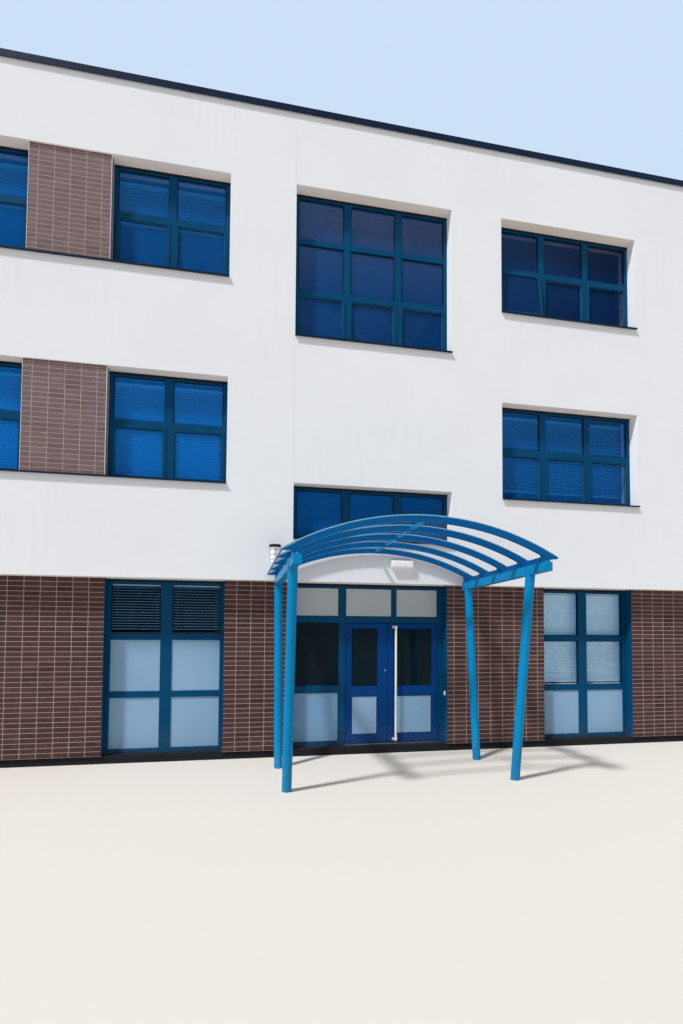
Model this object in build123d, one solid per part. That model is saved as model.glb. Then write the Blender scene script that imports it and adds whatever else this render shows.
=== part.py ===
from build123d import *
from dataclasses import dataclass
import math
import os

# Three-storey school building in millimetres, +Z up.
# The origin is on the ground at the middle of the plan, and the entrance front faces -Y.
# Each side of the building is drawn as seen from outside: u runs to the right along the wall,
# v runs inwards from the white face, and z runs up from the ground.

# Heights
course = 75
ground_courses = 36
plinth_height = 120
plinth_setback = 30
storey_height = 3300
parapet_above_roof = 520
roof_above_second_floor = 3380
slab_thickness = 280

# Walls
building_depth = 10000
upper_wall_thickness = 450
brick_recess = 220
brick_wall_thickness = 300

# Windows along the front, from left to right
left_margin = 1440
two_light_width = 1790
brick_panel_width = 1170
left_gap = 1055
three_light_width = 2690
right_gap = 930
right_margin = 1445

# Window heights above the floor of their storey
window_sill = 900
window_head = 2600
low_sill = 75
strip_window_height = 900
top_light_height = 790

# Window frames
frame_face = 65
frame_depth = 70
mullion_face = 115
transom_face = 95
ground_mullion_face = 170
upper_frame_recess = 210
ground_frame_recess = 180
glass_thickness = 24
panel_thickness = 40
panel_recess = 25
lining_thickness = 3

# Sills
sill_projection = 45
sill_thickness = 12
sill_drop = 12

# Open vent in the upper right window
vent_angle = 7.5
vent_depth = 36
vent_face = 48
vent_lap = 12

# Coping
coping_height = 95
coping_overhang = 35
coping_plate = 12
coping_joint = 3

# Entrance screen and doors
screen_depth = 70
screen_transom_face = 100
side_light_width = 835
screen_mullion_face = 112
over_panel_height = 552
over_mullion_face = 70
over_mullion_offset = 850
screen_jamb_face = 103
left_leaf_width = 722
leaf_thickness = 50
leaf_gap = 8
leaf_floor_gap = 10
leaf_outer_stile = 100
leaf_meeting_stile = 110
left_leaf_meeting_stile = 170
leaf_top_rail = 86
leaf_middle_rail = 160
leaf_bottom_rail = 145
leaf_glass_height = 980
side_light_panel_height = 820
side_light_rail = 110
threshold_height = 12
hinge_radius = 9
hinge_clearance = 1
hinge_half_height = 55
hinge_flap_width = 32
hinge_pin_gap = 0.3
hinge_heights = (250, 1010, 1770)
pull_bar_radius = 19
pull_bar_standoff = 70
pull_bar_inset = 127
pull_bracket_width = 90
pull_bracket_height = 40
pull_bracket_thickness = 10
pull_neck_radius = 12

# Canopy
canopy_length = 2400
canopy_wall_gap = 40
rib_count = 5
rib_width = 50
rib_depth = 68
rib_radius = 3540
rib_half_span = 1755
crown_height = 3400
canopy_rise = 75
beam_offset = 1580
beam_width = 100
beam_height = 115
beam_front_overhang = 60
sheet_thickness = 8
cap_height = 12
purlin_size = 40
edge_rail_height = 40
edge_rail_width = 24
post_diameter = 125
rear_post_base = 430
rear_post_top = 110
front_post_base = 1640
front_post_top = 2090

# Lamps on the front wall
lamp_width = 370
lamp_height = 110
lamp_depth = 90
lamp_over_soffit = 260
lamp_offset = 455
lantern_radius = 75
lantern_height = 230
lantern_cap_height = 40
lantern_cap_overhang = 15
lantern_arm = 60
lantern_clearance = 75
lantern_offset = -1640

# Openings of the other sides
side_windows = 2
back_windows = 4

# Sizes worked out from the driving dimensions
soffit = plinth_height + ground_courses * course
building_width = (
    left_margin + 2 * two_light_width + brick_panel_width + left_gap
    + 2 * three_light_width + right_gap + right_margin
)
first_floor = plinth_height + storey_height
second_floor = first_floor + storey_height
roof_level = second_floor + roof_above_second_floor
parapet_top = roof_level + parapet_above_roof
wall_top = parapet_top - coping_plate
half_width = building_width / 2
half_depth = building_depth / 2

SIDES = {
    "front": Pos(0, -half_depth, 0),
    "right": Pos(half_width, 0, 0) * Rot(0, 0, 90),
    "back": Pos(0, half_depth, 0) * Rot(0, 0, 180),
    "left": Pos(-half_width, 0, 0) * Rot(0, 0, 270),
}
ALIGN_BOTTOM = (Align.CENTER, Align.CENTER, Align.MIN)


@dataclass
class Window:
    """A window: its opening, its mullions and transoms, and how many of its lowest rows are opaque."""

    u0: float
    u1: float
    z0: float
    z1: float
    mullions: int
    transoms: tuple
    mullion_face: float = mullion_face
    panel_rows: int = 0

    def columns(self):
        """Clear stretches between the jambs and mullions, from left to right."""
        module = (self.u1 - self.u0) / (self.mullions + 1)
        edges = [self.u0 + frame_face]
        for n in range(1, self.mullions + 1):
            edges += [self.u0 + n * module - self.mullion_face / 2]
            edges += [self.u0 + n * module + self.mullion_face / 2]
        edges += [self.u1 - frame_face]
        return list(zip(edges[::2], edges[1::2]))

    def rows(self):
        """Clear stretches between the rails and transoms, from the bottom up."""
        edges = [self.z0 + frame_face]
        for z in self.transoms:
            edges += [z - transom_face / 2, z + transom_face / 2]
        edges += [self.z1 - frame_face]
        return list(zip(edges[::2], edges[1::2]))

    def outline(self):
        """The whole opening as a sketch."""
        return rectangle(self.u0, self.u1, self.z0, self.z1)

    def lights(self, opaque):
        """The glazed lights, or the opaque ones, as sketches."""
        rows = self.rows()
        chosen = rows[: self.panel_rows] if opaque else rows[self.panel_rows :]
        return [rectangle(*column, *row) for row in chosen for column in self.columns()]


def rectangle(u0, u1, z0, z1):
    """A rectangle of a wall's elevation."""
    return Pos((u0 + u1) / 2, (z0 + z1) / 2) * Rectangle(u1 - u0, z1 - z0)


def plate(sketch, v0, v1):
    """A sketch of the elevation made solid from depth v0 to depth v1."""
    return extrude(Plane.XZ.offset(-v0) * sketch, amount=-(v1 - v0))


def block(u0, u1, v0, v1, z0, z1):
    """A plain block."""
    return plate(rectangle(u0, u1, z0, z1), v0, v1)


def write(name, pieces):
    """Writes one node, made of one piece or of several that don't touch."""
    whole = pieces[0] if len(pieces) == 1 else Compound(children=list(pieces))
    export_step(whole, f"parts/{name}.step")


# Windows of each side

def two_row_window(u0, width, mullions, floor):
    """A window of an upper storey, with one transom below its top lights."""
    head = floor + window_head
    return Window(u0, u0 + width, floor + window_sill, head, mullions, (head - top_light_height,))


def ground_window(u0, width, mullions, panel_rows):
    """A full-height window of the ground floor, in three equal rows."""
    row = (soffit - plinth_height) / 3
    rows = (plinth_height + row, plinth_height + 2 * row)
    return Window(u0, u0 + width, plinth_height, soffit, mullions, rows, ground_mullion_face, panel_rows)


far_left_u = -half_width + left_margin
panel_u = far_left_u + two_light_width
left_u = panel_u + brick_panel_width
centre_u = left_u + two_light_width + left_gap
right_u = centre_u + three_light_width + right_gap
right_end_u = right_u + three_light_width
entrance_u = centre_u + three_light_width / 2


def tall_window():
    """The window of the stair, three rows high."""
    low = second_floor + low_sill
    high = second_floor + window_head
    upper = high - top_light_height
    return Window(centre_u, centre_u + three_light_width, low, high, 2, ((low + upper) / 2, upper))


def strip_window():
    """The single row of lights over the canopy."""
    low = first_floor + low_sill
    return Window(centre_u, centre_u + three_light_width, low, low + strip_window_height, 2, ())


FRONT_UPPER = {
    "first": [
        two_row_window(far_left_u, two_light_width, 1, first_floor),
        two_row_window(left_u, two_light_width, 1, first_floor),
        strip_window(),
        two_row_window(right_u, three_light_width, 2, first_floor),
    ],
    "second": [
        two_row_window(far_left_u, two_light_width, 1, second_floor),
        two_row_window(left_u, two_light_width, 1, second_floor),
        tall_window(),
        two_row_window(right_u, three_light_width, 2, second_floor),
    ],
}
FRONT_GROUND = [
    ground_window(left_u, two_light_width, 1, 2),
    ground_window(right_end_u - two_light_width, two_light_width, 1, 1),
]


def evenly(count, width, length):
    """Left edges of like windows, spaced evenly along a wall."""
    pier = (length - count * width) / (count + 1)
    return [-length / 2 + pier + n * (pier + width) for n in range(count)]


def plain_side(count, length, width, mullions):
    """The windows of a side that repeats the storeys of the front: upper ones, then ground ones."""
    starts = evenly(count, width, length)
    floors_above = (first_floor, second_floor)
    upper = [two_row_window(u, width, mullions, floor) for floor in floors_above for u in starts]
    ground = [ground_window(u, width, mullions, 1) for u in starts]
    return upper, ground


side_length = building_depth - 2 * upper_wall_thickness
OTHER_SIDES = {
    "right": plain_side(side_windows, side_length, two_light_width, 1),
    "back": plain_side(back_windows, building_width, two_light_width, 1),
    "left": plain_side(side_windows, side_length, two_light_width, 1),
}


# Walls

def upper_wall(u0, u1, z0, z1, openings):
    """A stretch of the white upper wall with its openings cut through."""
    sketch = rectangle(u0, u1, z0, z1)
    for opening in openings:
        sketch -= opening
    return plate(sketch, 0, upper_wall_thickness)


def storey_openings(windows):
    """Openings of one upper storey of the front: the left pair of windows shares one with its panel."""
    far_left, left = windows[0], windows[1]
    pair = rectangle(far_left.u0, left.u1, left.z0, left.z1)
    return [pair] + [window.outline() for window in windows[2:]]


def brick_piers(u0, u1, windows):
    """Brick walls between full-height openings, from the plinth up to the white wall."""
    edges = [u0]
    for low, high in sorted(windows):
        edges += [low, high]
    edges += [u1]
    near, far = brick_recess, brick_recess + brick_wall_thickness
    return [block(a, b, near, far, plinth_height, soffit) for a, b in zip(edges[::2], edges[1::2])]


def walls():
    """All white and brick walls, the front one parted midway between two rows of windows."""
    split = first_floor + window_head + (storey_height + low_sill - window_head) / 2
    front = SIDES["front"]
    lower = upper_wall(-half_width, half_width, soffit, split, storey_openings(FRONT_UPPER["first"]))
    upper = upper_wall(-half_width, half_width, split, wall_top, storey_openings(FRONT_UPPER["second"]))
    write("front_wall_first_floor", [front * lower])
    write("front_wall_second_floor", [front * upper])
    entrance = [(centre_u, centre_u + three_light_width)]
    openings = [(window.u0, window.u1) for window in FRONT_GROUND] + entrance
    reach = half_width - brick_recess
    write("front_brick_piers", [front * pier for pier in brick_piers(-reach, reach, openings)])
    for side, (uppers, grounds) in OTHER_SIDES.items():
        long_side = side == "back"
        half = half_width if long_side else side_length / 2
        wall = upper_wall(-half, half, soffit, wall_top, [window.outline() for window in uppers])
        write(f"{side}_wall", [SIDES[side] * wall])
        inner = half_depth - brick_recess - brick_wall_thickness
        half = half_width - brick_recess if long_side else inner
        piers = brick_piers(-half, half, [(window.u0, window.u1) for window in grounds])
        write(f"{side}_brick_piers", [SIDES[side] * pier for pier in piers])


def brick_panels():
    """The brick panels between the left pairs of windows, standing on their sills."""
    pieces = []
    for floor in (first_floor, second_floor):
        low, high = floor + window_sill + sill_thickness, floor + window_head
        pieces += [SIDES["front"] * block(panel_u, left_u, panel_recess, upper_wall_thickness, low, high)]
    write("brick_panels", pieces)


def floors():
    """The ground slab, whose edge is the dark plinth, the two floors and the roof."""
    reach_x = half_width - brick_recess - plinth_setback
    reach_y = half_depth - brick_recess - plinth_setback
    write("ground_slab", [block(-reach_x, reach_x, -reach_y, reach_y, 0, plinth_height)])
    inner_x = half_width - upper_wall_thickness
    inner_y = half_depth - upper_wall_thickness
    for name, level in (
        ("first_floor_slab", first_floor),
        ("second_floor_slab", second_floor),
        ("roof_slab", roof_level),
    ):
        write(name, [block(-inner_x, inner_x, -inner_y, inner_y, level - slab_thickness, level)])


def coping_length(half):
    """One length of the coping, a hooked section mitred at both ends."""
    out, back, low = -coping_overhang, upper_wall_thickness + coping_overhang, wall_top - coping_height
    section = Polyline(
        (out, low), (out, parapet_top), (back, parapet_top), (back, low),
        (back - coping_plate, low), (back - coping_plate, wall_top),
        (out + coping_plate, wall_top), (out + coping_plate, low), close=True,
    )
    reach = half + coping_overhang
    length = extrude(Plane.YZ.offset(-reach) * make_face(section), amount=2 * reach)
    near, far = reach - coping_joint, reach - coping_joint - (back - out)
    plan = Polyline((-near, out), (near, out), (far, back), (-far, back), close=True)
    return length & extrude(Plane.XY.offset(low) * make_face(plan), amount=parapet_top - low)


def coping():
    """The dark metal coping: one mitred length a side, with open joints at the corners."""
    halves = {"front": half_width, "back": half_width, "right": half_depth, "left": half_depth}
    write("roof_coping", [SIDES[side] * coping_length(half) for side, half in halves.items()])


# Windows

def frame(window, near):
    """One frame with its mullions and transoms."""
    sketch = window.outline()
    for light in window.lights(False) + window.lights(True):
        sketch -= light
    return plate(sketch, near, near + frame_depth)


def infills(window, near, opaque, thickness):
    """The panes or the opaque panels of one frame."""
    start = near + (frame_depth - thickness) / 2
    return [plate(light, start, start + thickness) for light in window.lights(opaque)]


def vent_light():
    """The light of the upper right window whose vent stands open: edges of its lowest, leftmost light."""
    window = FRONT_UPPER["second"][3]
    return window.columns()[0], window.rows()[0]


def open_vent():
    """The top-hung vent, closing onto the face of the frame and standing open at its bottom."""
    (u0, u1), (z0, z1) = vent_light()
    whole = rectangle(u0 - vent_lap, u1 + vent_lap, z0 - vent_lap, z1 + vent_lap)
    inside = vent_face - vent_lap
    pane = rectangle(u0 + inside, u1 - inside, z0 + inside, z1 - inside)
    near = upper_frame_recess
    pivot = Pos(0, near, z1 + vent_lap)
    swing = pivot * Rot(-vent_angle, 0, 0) * pivot.inverse()
    sash = swing * plate(whole - pane, near - vent_depth, near)
    start = near - (vent_depth + glass_thickness) / 2
    glass = swing * plate(pane, start, start + glass_thickness)
    write("vent_sash", [SIDES["front"] * sash])
    write("vent_glass", [SIDES["front"] * glass])


def sill(u0, u1, z, near):
    """A folded metal sill: a shelf out to the face and a drip in front of it."""
    section = Polyline(
        (near, z), (near, z + sill_thickness), (-sill_projection, z + sill_thickness),
        (-sill_projection, z - sill_drop), (-sill_projection + sill_thickness, z - sill_drop),
        (-sill_projection + sill_thickness, z), close=True,
    )
    return extrude(Plane.YZ.offset(u0) * make_face(section), amount=u1 - u0)


def windows():
    """Frames, panes, panels and sills of every side."""
    front = SIDES["front"]
    near_upper = upper_frame_recess
    near_ground = brick_recess + ground_frame_recess
    glass, panels, sills = [], [], []
    for storey, row in FRONT_UPPER.items():
        write(f"front_frames_{storey}_floor", [front * frame(window, near_upper) for window in row])
    write("front_frames_ground_floor", [front * frame(window, near_ground) for window in FRONT_GROUND])
    for window in FRONT_UPPER["first"] + FRONT_UPPER["second"]:
        panes = infills(window, near_upper, False, glass_thickness)
        if window is FRONT_UPPER["second"][3]:
            panes = panes[1:]
        glass += [front * pane for pane in panes]
    for window in FRONT_GROUND:
        glass += [front * pane for pane in infills(window, near_ground, False, glass_thickness)]
        panels += [front * panel for panel in infills(window, near_ground, True, panel_thickness)]
    write("front_glass", glass)
    for far_left, left, *others in FRONT_UPPER.values():
        spans = [(far_left.u0, left.u1, left.z0)]
        spans += [(window.u0, window.u1, window.z0) for window in others]
        sills += [front * sill(*span, near_upper) for span in spans]
    for side, (uppers, grounds) in OTHER_SIDES.items():
        place = SIDES[side]
        frames = [place * frame(window, near_upper) for window in uppers]
        frames += [place * frame(window, near_ground) for window in grounds]
        write(f"{side}_frames", frames)
        panes = []
        for near, group in ((near_upper, uppers), (near_ground, grounds)):
            for window in group:
                panes += [place * pane for pane in infills(window, near, False, glass_thickness)]
        write(f"{side}_glass", panes)
        for window in grounds:
            panels += [place * panel for panel in infills(window, near_ground, True, panel_thickness)]
        sills += [place * sill(window.u0, window.u1, window.z0, near_upper) for window in uppers]
    open_vent()
    write("ground_window_panels", panels)
    write("window_sills", sills)


def linings():
    """Thin metal linings on the jambs of the ground-floor openings, from the brick face to the frames."""
    grounds = {side: ground for side, (_, ground) in OTHER_SIDES.items()} | {"front": FRONT_GROUND}
    spans = {side: [(window.u0, window.u1) for window in row] for side, row in grounds.items()}
    spans["front"] += [(screen_u0, screen_u1)]
    near, far = brick_recess, brick_recess + ground_frame_recess
    pieces = []
    for side, openings in spans.items():
        for u0, u1 in openings:
            for edge in (u0, u1 - lining_thickness):
                lining = block(edge, edge + lining_thickness, near, far, plinth_height, soffit)
                pieces += [SIDES[side] * lining]
    write("reveal_linings", pieces)


# Entrance

screen_near = brick_recess + ground_frame_recess
screen_u0 = centre_u
screen_u1 = centre_u + three_light_width
door_head = soffit - over_panel_height - screen_transom_face
light_u0 = screen_u0 + frame_face
light_u1 = screen_u0 + side_light_width
doors_u0 = light_u1 + screen_mullion_face
doors_u1 = screen_u1 - screen_jamb_face
left_leaf_u1 = doors_u0 + leaf_gap + left_leaf_width
right_leaf_u0 = left_leaf_u1 + leaf_gap
left_hinge_u = doors_u0 + leaf_gap / 2
right_hinge_u = doors_u1 - leaf_gap / 2
leaf_bottom = plinth_height + threshold_height + leaf_floor_gap
leaf_top = door_head - leaf_gap
hinge_v = screen_near - hinge_radius - hinge_clearance


def side_light_lights():
    """The panel and the pane of the fixed light beside the doors."""
    panel_low = plinth_height + frame_face
    panel_high = panel_low + side_light_panel_height
    panel = rectangle(light_u0, light_u1, panel_low, panel_high)
    pane = rectangle(light_u0, light_u1, panel_high + side_light_rail, door_head)
    return panel, pane


def over_panels():
    """The three opaque panels over the doors and the side light."""
    low = door_head + screen_transom_face
    high = soffit - frame_face
    middle = doors_u0 + over_mullion_offset
    return [
        rectangle(light_u0, light_u1, low, high),
        rectangle(doors_u0, middle - over_mullion_face / 2, low, high),
        rectangle(middle + over_mullion_face / 2, doors_u1, low, high),
    ]


def entrance_screen():
    """The fixed screen of the entrance, with its panels, pane and threshold."""
    front = SIDES["front"]
    panel, pane = side_light_lights()
    doorway = rectangle(doors_u0, doors_u1, plinth_height, door_head)
    sketch = rectangle(screen_u0, screen_u1, plinth_height, soffit) - panel - pane - doorway
    for opening in over_panels():
        sketch -= opening
    write("entrance_screen", [front * plate(sketch, screen_near, screen_near + screen_depth)])
    start = screen_near + (screen_depth - panel_thickness) / 2
    panels = [plate(sketch, start, start + panel_thickness) for sketch in over_panels() + [panel]]
    write("entrance_panels", [front * piece for piece in panels])
    start = screen_near + (screen_depth - glass_thickness) / 2
    write("entrance_side_glass", [front * plate(pane, start, start + glass_thickness)])
    step = block(
        doors_u0, doors_u1, screen_near, screen_near + screen_depth,
        plinth_height, plinth_height + threshold_height,
    )
    write("door_threshold", [front * step])


def leaf_lights(u0, u1):
    """The pane and the panel of a door leaf, between these edges."""
    glass_high = leaf_top - leaf_top_rail
    glass_low = glass_high - leaf_glass_height
    panel_high = glass_low - leaf_middle_rail
    panel_low = leaf_bottom + leaf_bottom_rail
    return rectangle(u0, u1, glass_low, glass_high), rectangle(u0, u1, panel_low, panel_high)


def door_leaf(side, u0, u1, light_edge_0, light_edge_1):
    """A hinged leaf with its pane and its lower panel."""
    front = SIDES["front"]
    pane, panel = leaf_lights(light_edge_0, light_edge_1)
    sketch = rectangle(u0, u1, leaf_bottom, leaf_top) - pane - panel
    leaf = plate(sketch, screen_near, screen_near + leaf_thickness)
    write(f"{side}_door_leaf", [front * leaf])
    start = screen_near + (leaf_thickness - glass_thickness) / 2
    write(f"{side}_door_glass", [front * plate(pane, start, start + glass_thickness)])
    write(f"{side}_door_panel", [front * plate(panel, start, start + glass_thickness)])


def hinge_half(u, toward, z):
    """Half of a hinge: its barrel about the pin and a flap onto the face beside it."""
    barrel = Pos(u, hinge_v, z) * Cylinder(hinge_radius, hinge_half_height, align=ALIGN_BOTTOM)
    far = u + toward * hinge_flap_width
    return barrel + block(min(u, far), max(u, far), hinge_v, screen_near, z, z + hinge_half_height)


def hinges():
    """Three hinges a leaf: the lower half of each is on the jamb, the upper half on the leaf."""
    front = SIDES["front"]
    fixed = []
    for side, u, toward in (("left", left_hinge_u, 1), ("right", right_hinge_u, -1)):
        levels = [leaf_bottom + height for height in hinge_heights]
        fixed += [front * hinge_half(u, -toward, z - hinge_half_height - hinge_pin_gap) for z in levels]
        write(f"{side}_door_hinges", [front * hinge_half(u, toward, z) for z in levels])
    write("jamb_hinges", fixed)


def pull_bar():
    """The tall pull bar, carried on a bracket at the top rail and one at the bottom rail."""
    u = right_leaf_u0 + pull_bar_inset
    low = leaf_bottom + pull_bracket_height
    high = leaf_top - pull_bracket_height
    v = screen_near - pull_bar_standoff
    whole = Pos(u, v, low) * Cylinder(pull_bar_radius, high - low, align=ALIGN_BOTTOM)
    for z in (low + pull_bracket_height / 2, high - pull_bracket_height / 2):
        plate_v = screen_near - pull_bracket_thickness
        whole += block(
            u - pull_bracket_width / 2, u + pull_bracket_width / 2, plate_v, screen_near,
            z - pull_bracket_height / 2, z + pull_bracket_height / 2,
        )
        whole += Pos(u, (v + plate_v) / 2, z) * Rot(90, 0, 0) * Cylinder(pull_neck_radius, plate_v - v)
    write("door_pull_bar", [SIDES["front"] * whole])


def doors():
    """Both leaves, their hinges and the pull bar."""
    u0, u1 = doors_u0 + leaf_gap, left_leaf_u1
    door_leaf("left", u0, u1, u0 + leaf_outer_stile, u1 - left_leaf_meeting_stile)
    u0, u1 = right_leaf_u0, doors_u1 - leaf_gap
    door_leaf("right", u0, u1, u0 + leaf_meeting_stile, u1 - leaf_outer_stile)
    hinges()
    pull_bar()


# Canopy: drawn level with its crown over the entrance, then tipped up a little towards its front.
# Here v is the distance in front of the white wall, so y is minus v.

canopy_tip = math.degrees(math.atan2(canopy_rise, canopy_length))
canopy_middle = canopy_wall_gap + canopy_length / 2
canopy_reach = 2 * crown_height
canopy_place = Pos(entrance_u, -half_depth - canopy_middle, 0)
canopy_tilt = Pos(0, 0, crown_height) * Rot(-canopy_tip, 0, 0) * Pos(0, 0, -crown_height)
arc_centre = crown_height - rib_radius
tip_height = arc_centre + math.sqrt(rib_radius**2 - rib_half_span**2)


def arc_band(outer, inner, half_span):
    """An arched band between two radii, cut off plumb at its span and level at its tips."""
    centre = Pos(0, arc_centre)
    band = centre * Circle(outer) - centre * Circle(inner)
    room = rectangle(-half_span, half_span, tip_height, crown_height + outer)
    return band & room


def rib_places():
    """Middles of the ribs along the canopy, from the wall outwards, about its middle."""
    step = (canopy_length - rib_width) / (rib_count - 1)
    return [canopy_length / 2 - rib_width / 2 - n * step for n in range(rib_count)]


def canopy_ribs():
    """The arched ribs."""
    profile = arc_band(rib_radius, rib_radius - rib_depth, rib_half_span)
    return [Pos(0, y, 0) * plate(profile, -rib_width / 2, rib_width / 2) for y in rib_places()]


def canopy_sheet():
    """The clear curved sheet that lies on the ribs."""
    profile = arc_band(rib_radius + sheet_thickness, rib_radius, rib_half_span)
    return plate(profile, -canopy_length / 2, canopy_length / 2)


def canopy_rib_caps():
    """The capping strips that hold the sheet down on each rib."""
    base = rib_radius + sheet_thickness
    profile = arc_band(base + cap_height, base, rib_half_span)
    return [Pos(0, y, 0) * plate(profile, -rib_width / 2, rib_width / 2) for y in rib_places()]


def rib_bottom(u):
    """Height of the ribs' lower edge at a distance from the crown."""
    return arc_centre + math.sqrt((rib_radius - rib_depth) ** 2 - u**2)


beam_top = rib_bottom(beam_offset + beam_width / 2) - edge_rail_height
beam_bottom = beam_top - beam_height


def between_ribs(profile):
    """A bar in each bay between two ribs."""
    places = rib_places()
    bays = zip(places[1:], places[:-1])
    return [plate(profile, low + rib_width / 2, high - rib_width / 2) for low, high in bays]


def canopy_purlins():
    """The short crown purlins between the ribs."""
    top = crown_height - rib_depth / 2 + purlin_size / 2
    return between_ribs(rectangle(-purlin_size / 2, purlin_size / 2, top - purlin_size, top))


def canopy_edge_rails():
    """The rails on the beams, between the ribs, that close the sheet's lower edges."""
    pieces = []
    for side in (-1, 1):
        u = side * beam_offset
        top = rib_bottom(beam_offset + beam_width / 2) + edge_rail_height
        pieces += between_ribs(rectangle(u - edge_rail_width / 2, u + edge_rail_width / 2, beam_top, top))
    return pieces


def canopy_seats():
    """The seats that carry each rib on the beams."""
    pieces = []
    for side in (-1, 1):
        u0 = side * beam_offset - beam_width / 2
        for y in rib_places():
            seat = block(u0, u0 + beam_width, y - rib_width / 2, y + rib_width / 2, beam_top, crown_height)
            under = Pos(0, arc_centre) * Circle(rib_radius - rib_depth)
            pieces += [seat & plate(under, y - rib_width / 2, y + rib_width / 2)]
    return pieces


def post_line(base, top):
    """A leaning post, as a long rod about its own line, from below the ground to above the roof."""
    foot = Vector(0, canopy_middle - base, 0)
    head = Vector(0, canopy_middle - top, beam_top)
    along = (head - foot).normalized()
    start = foot - along * post_diameter
    rod = Plane(start, x_dir=(1, 0, 0), z_dir=along) * Cylinder(
        post_diameter / 2, (head - foot).length + 3 * post_diameter, align=ALIGN_BOTTOM
    )
    return rod


def room_between(low, high):
    """All the room round the canopy between two levels, that cuts a post to length."""
    return block(-canopy_reach, canopy_reach, -canopy_reach, canopy_reach, low, high)


def tilted(pieces):
    """Pieces of the level canopy, tipped and put in their place."""
    return [canopy_place * canopy_tilt * piece for piece in pieces]


def canopy():
    """All pieces of the canopy."""
    ahead, rear = -canopy_length / 2 - beam_front_overhang, canopy_middle + beam_height
    wall = block(-canopy_reach, canopy_reach, canopy_middle, canopy_reach, 0, canopy_reach)
    ground = room_between(-canopy_reach, 0)
    above_beam = canopy_tilt * room_between(beam_top, canopy_reach)
    above_soffit = canopy_tilt * room_between(beam_bottom, canopy_reach)
    posts, beams = [], []
    for u in (-beam_offset, beam_offset):
        beam = block(u - beam_width / 2, u + beam_width / 2, ahead, rear, beam_bottom, beam_top)
        front_post = Pos(u, 0, 0) * post_line(front_post_base, front_post_top) - above_beam - ground
        rear_post = Pos(u, 0, 0) * post_line(rear_post_base, rear_post_top) - above_soffit - ground
        posts += [front_post, rear_post]
        beams += (canopy_tilt * beam - front_post - wall).solids()
    write("canopy_posts", [canopy_place * post for post in posts])
    write("canopy_beams", [canopy_place * beam for beam in beams])
    write("canopy_ribs", tilted(canopy_ribs()))
    write("canopy_rib_caps", tilted(canopy_rib_caps()))
    write("canopy_purlins", tilted(canopy_purlins()))
    write("canopy_edge_rails", tilted(canopy_edge_rails()))
    write("canopy_rib_seats", tilted(canopy_seats()))
    write("canopy_roof_sheet", tilted([canopy_sheet()]))


# Lamps

def wall_lamp():
    """The long lamp on the white wall over the doors."""
    u = entrance_u + lamp_offset
    z = soffit + lamp_over_soffit
    body = block(u - lamp_width / 2, u + lamp_width / 2, -lamp_depth, 0, z, z + lamp_height)
    body = fillet(body.edges().group_by(Axis.Y)[0], radius=lamp_depth / 4)
    write("wall_lamp", [SIDES["front"] * body])


def lantern():
    """The round lantern on a short arm, a little above the end of the canopy."""
    u = entrance_u + lantern_offset
    canopy_top = rib_radius + sheet_thickness + cap_height
    z = arc_centre + math.sqrt(canopy_top**2 - lantern_offset**2) + lantern_clearance
    v = -lantern_radius - lantern_arm
    glass = Pos(u, v, z) * Cylinder(lantern_radius, lantern_height, align=ALIGN_BOTTOM)
    cap = Pos(u, v, z + lantern_height) * Cylinder(
        lantern_radius + lantern_cap_overhang, lantern_cap_height, align=ALIGN_BOTTOM
    )
    half = lantern_cap_height / 2
    top = z + lantern_height + lantern_cap_height
    arm = block(u - half, u + half, v, 0, z + lantern_height, top)
    write("lantern_drum", [SIDES["front"] * glass])
    write("lantern_cap", [SIDES["front"] * (cap + arm)])


def main():
    """Builds every node."""
    os.makedirs("parts", exist_ok=True)
    floors()
    walls()
    brick_panels()
    coping()
    windows()
    linings()
    entrance_screen()
    doors()
    canopy()
    wall_lamp()
    lantern()


main()
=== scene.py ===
import functools
import logging
import math
import random
from collections.abc import Iterable, Iterator, Sequence
from dataclasses import dataclass, field, replace
from enum import Enum

import bmesh
import bpy
from mathutils import Matrix, Vector


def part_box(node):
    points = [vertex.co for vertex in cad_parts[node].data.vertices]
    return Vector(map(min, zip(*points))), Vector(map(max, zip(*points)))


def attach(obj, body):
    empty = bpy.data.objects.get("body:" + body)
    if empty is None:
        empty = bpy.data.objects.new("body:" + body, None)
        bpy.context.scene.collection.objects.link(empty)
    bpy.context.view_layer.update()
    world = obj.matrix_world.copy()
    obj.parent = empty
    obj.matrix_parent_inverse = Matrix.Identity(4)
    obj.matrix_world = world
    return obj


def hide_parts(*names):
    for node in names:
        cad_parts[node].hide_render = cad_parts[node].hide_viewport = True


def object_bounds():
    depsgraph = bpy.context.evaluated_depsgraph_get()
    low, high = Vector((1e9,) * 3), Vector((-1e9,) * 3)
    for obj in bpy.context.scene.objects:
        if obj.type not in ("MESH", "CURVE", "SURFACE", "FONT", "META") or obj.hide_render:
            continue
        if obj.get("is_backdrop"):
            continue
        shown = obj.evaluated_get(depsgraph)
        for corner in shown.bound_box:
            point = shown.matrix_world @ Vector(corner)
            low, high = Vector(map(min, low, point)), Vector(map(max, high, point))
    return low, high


# The looks of a three-storey school building, in metres, in the frame of its solids:
# the finish of every solid, and the fine pieces that are laid, fixed or hung on them.

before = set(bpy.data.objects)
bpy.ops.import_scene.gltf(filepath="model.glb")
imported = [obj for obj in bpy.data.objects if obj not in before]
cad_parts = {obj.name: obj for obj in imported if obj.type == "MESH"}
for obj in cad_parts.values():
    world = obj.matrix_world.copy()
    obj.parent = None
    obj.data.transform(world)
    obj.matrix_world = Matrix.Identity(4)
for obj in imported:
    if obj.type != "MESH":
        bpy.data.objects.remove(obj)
CAD_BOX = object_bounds()
LOG = logging.getLogger("school")

Colour = tuple[float, float, float]
Point = tuple[float, float, float]
Pair = tuple[float, float]
Face = tuple[int, ...]
Socket = bpy.types.NodeSocket

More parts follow.
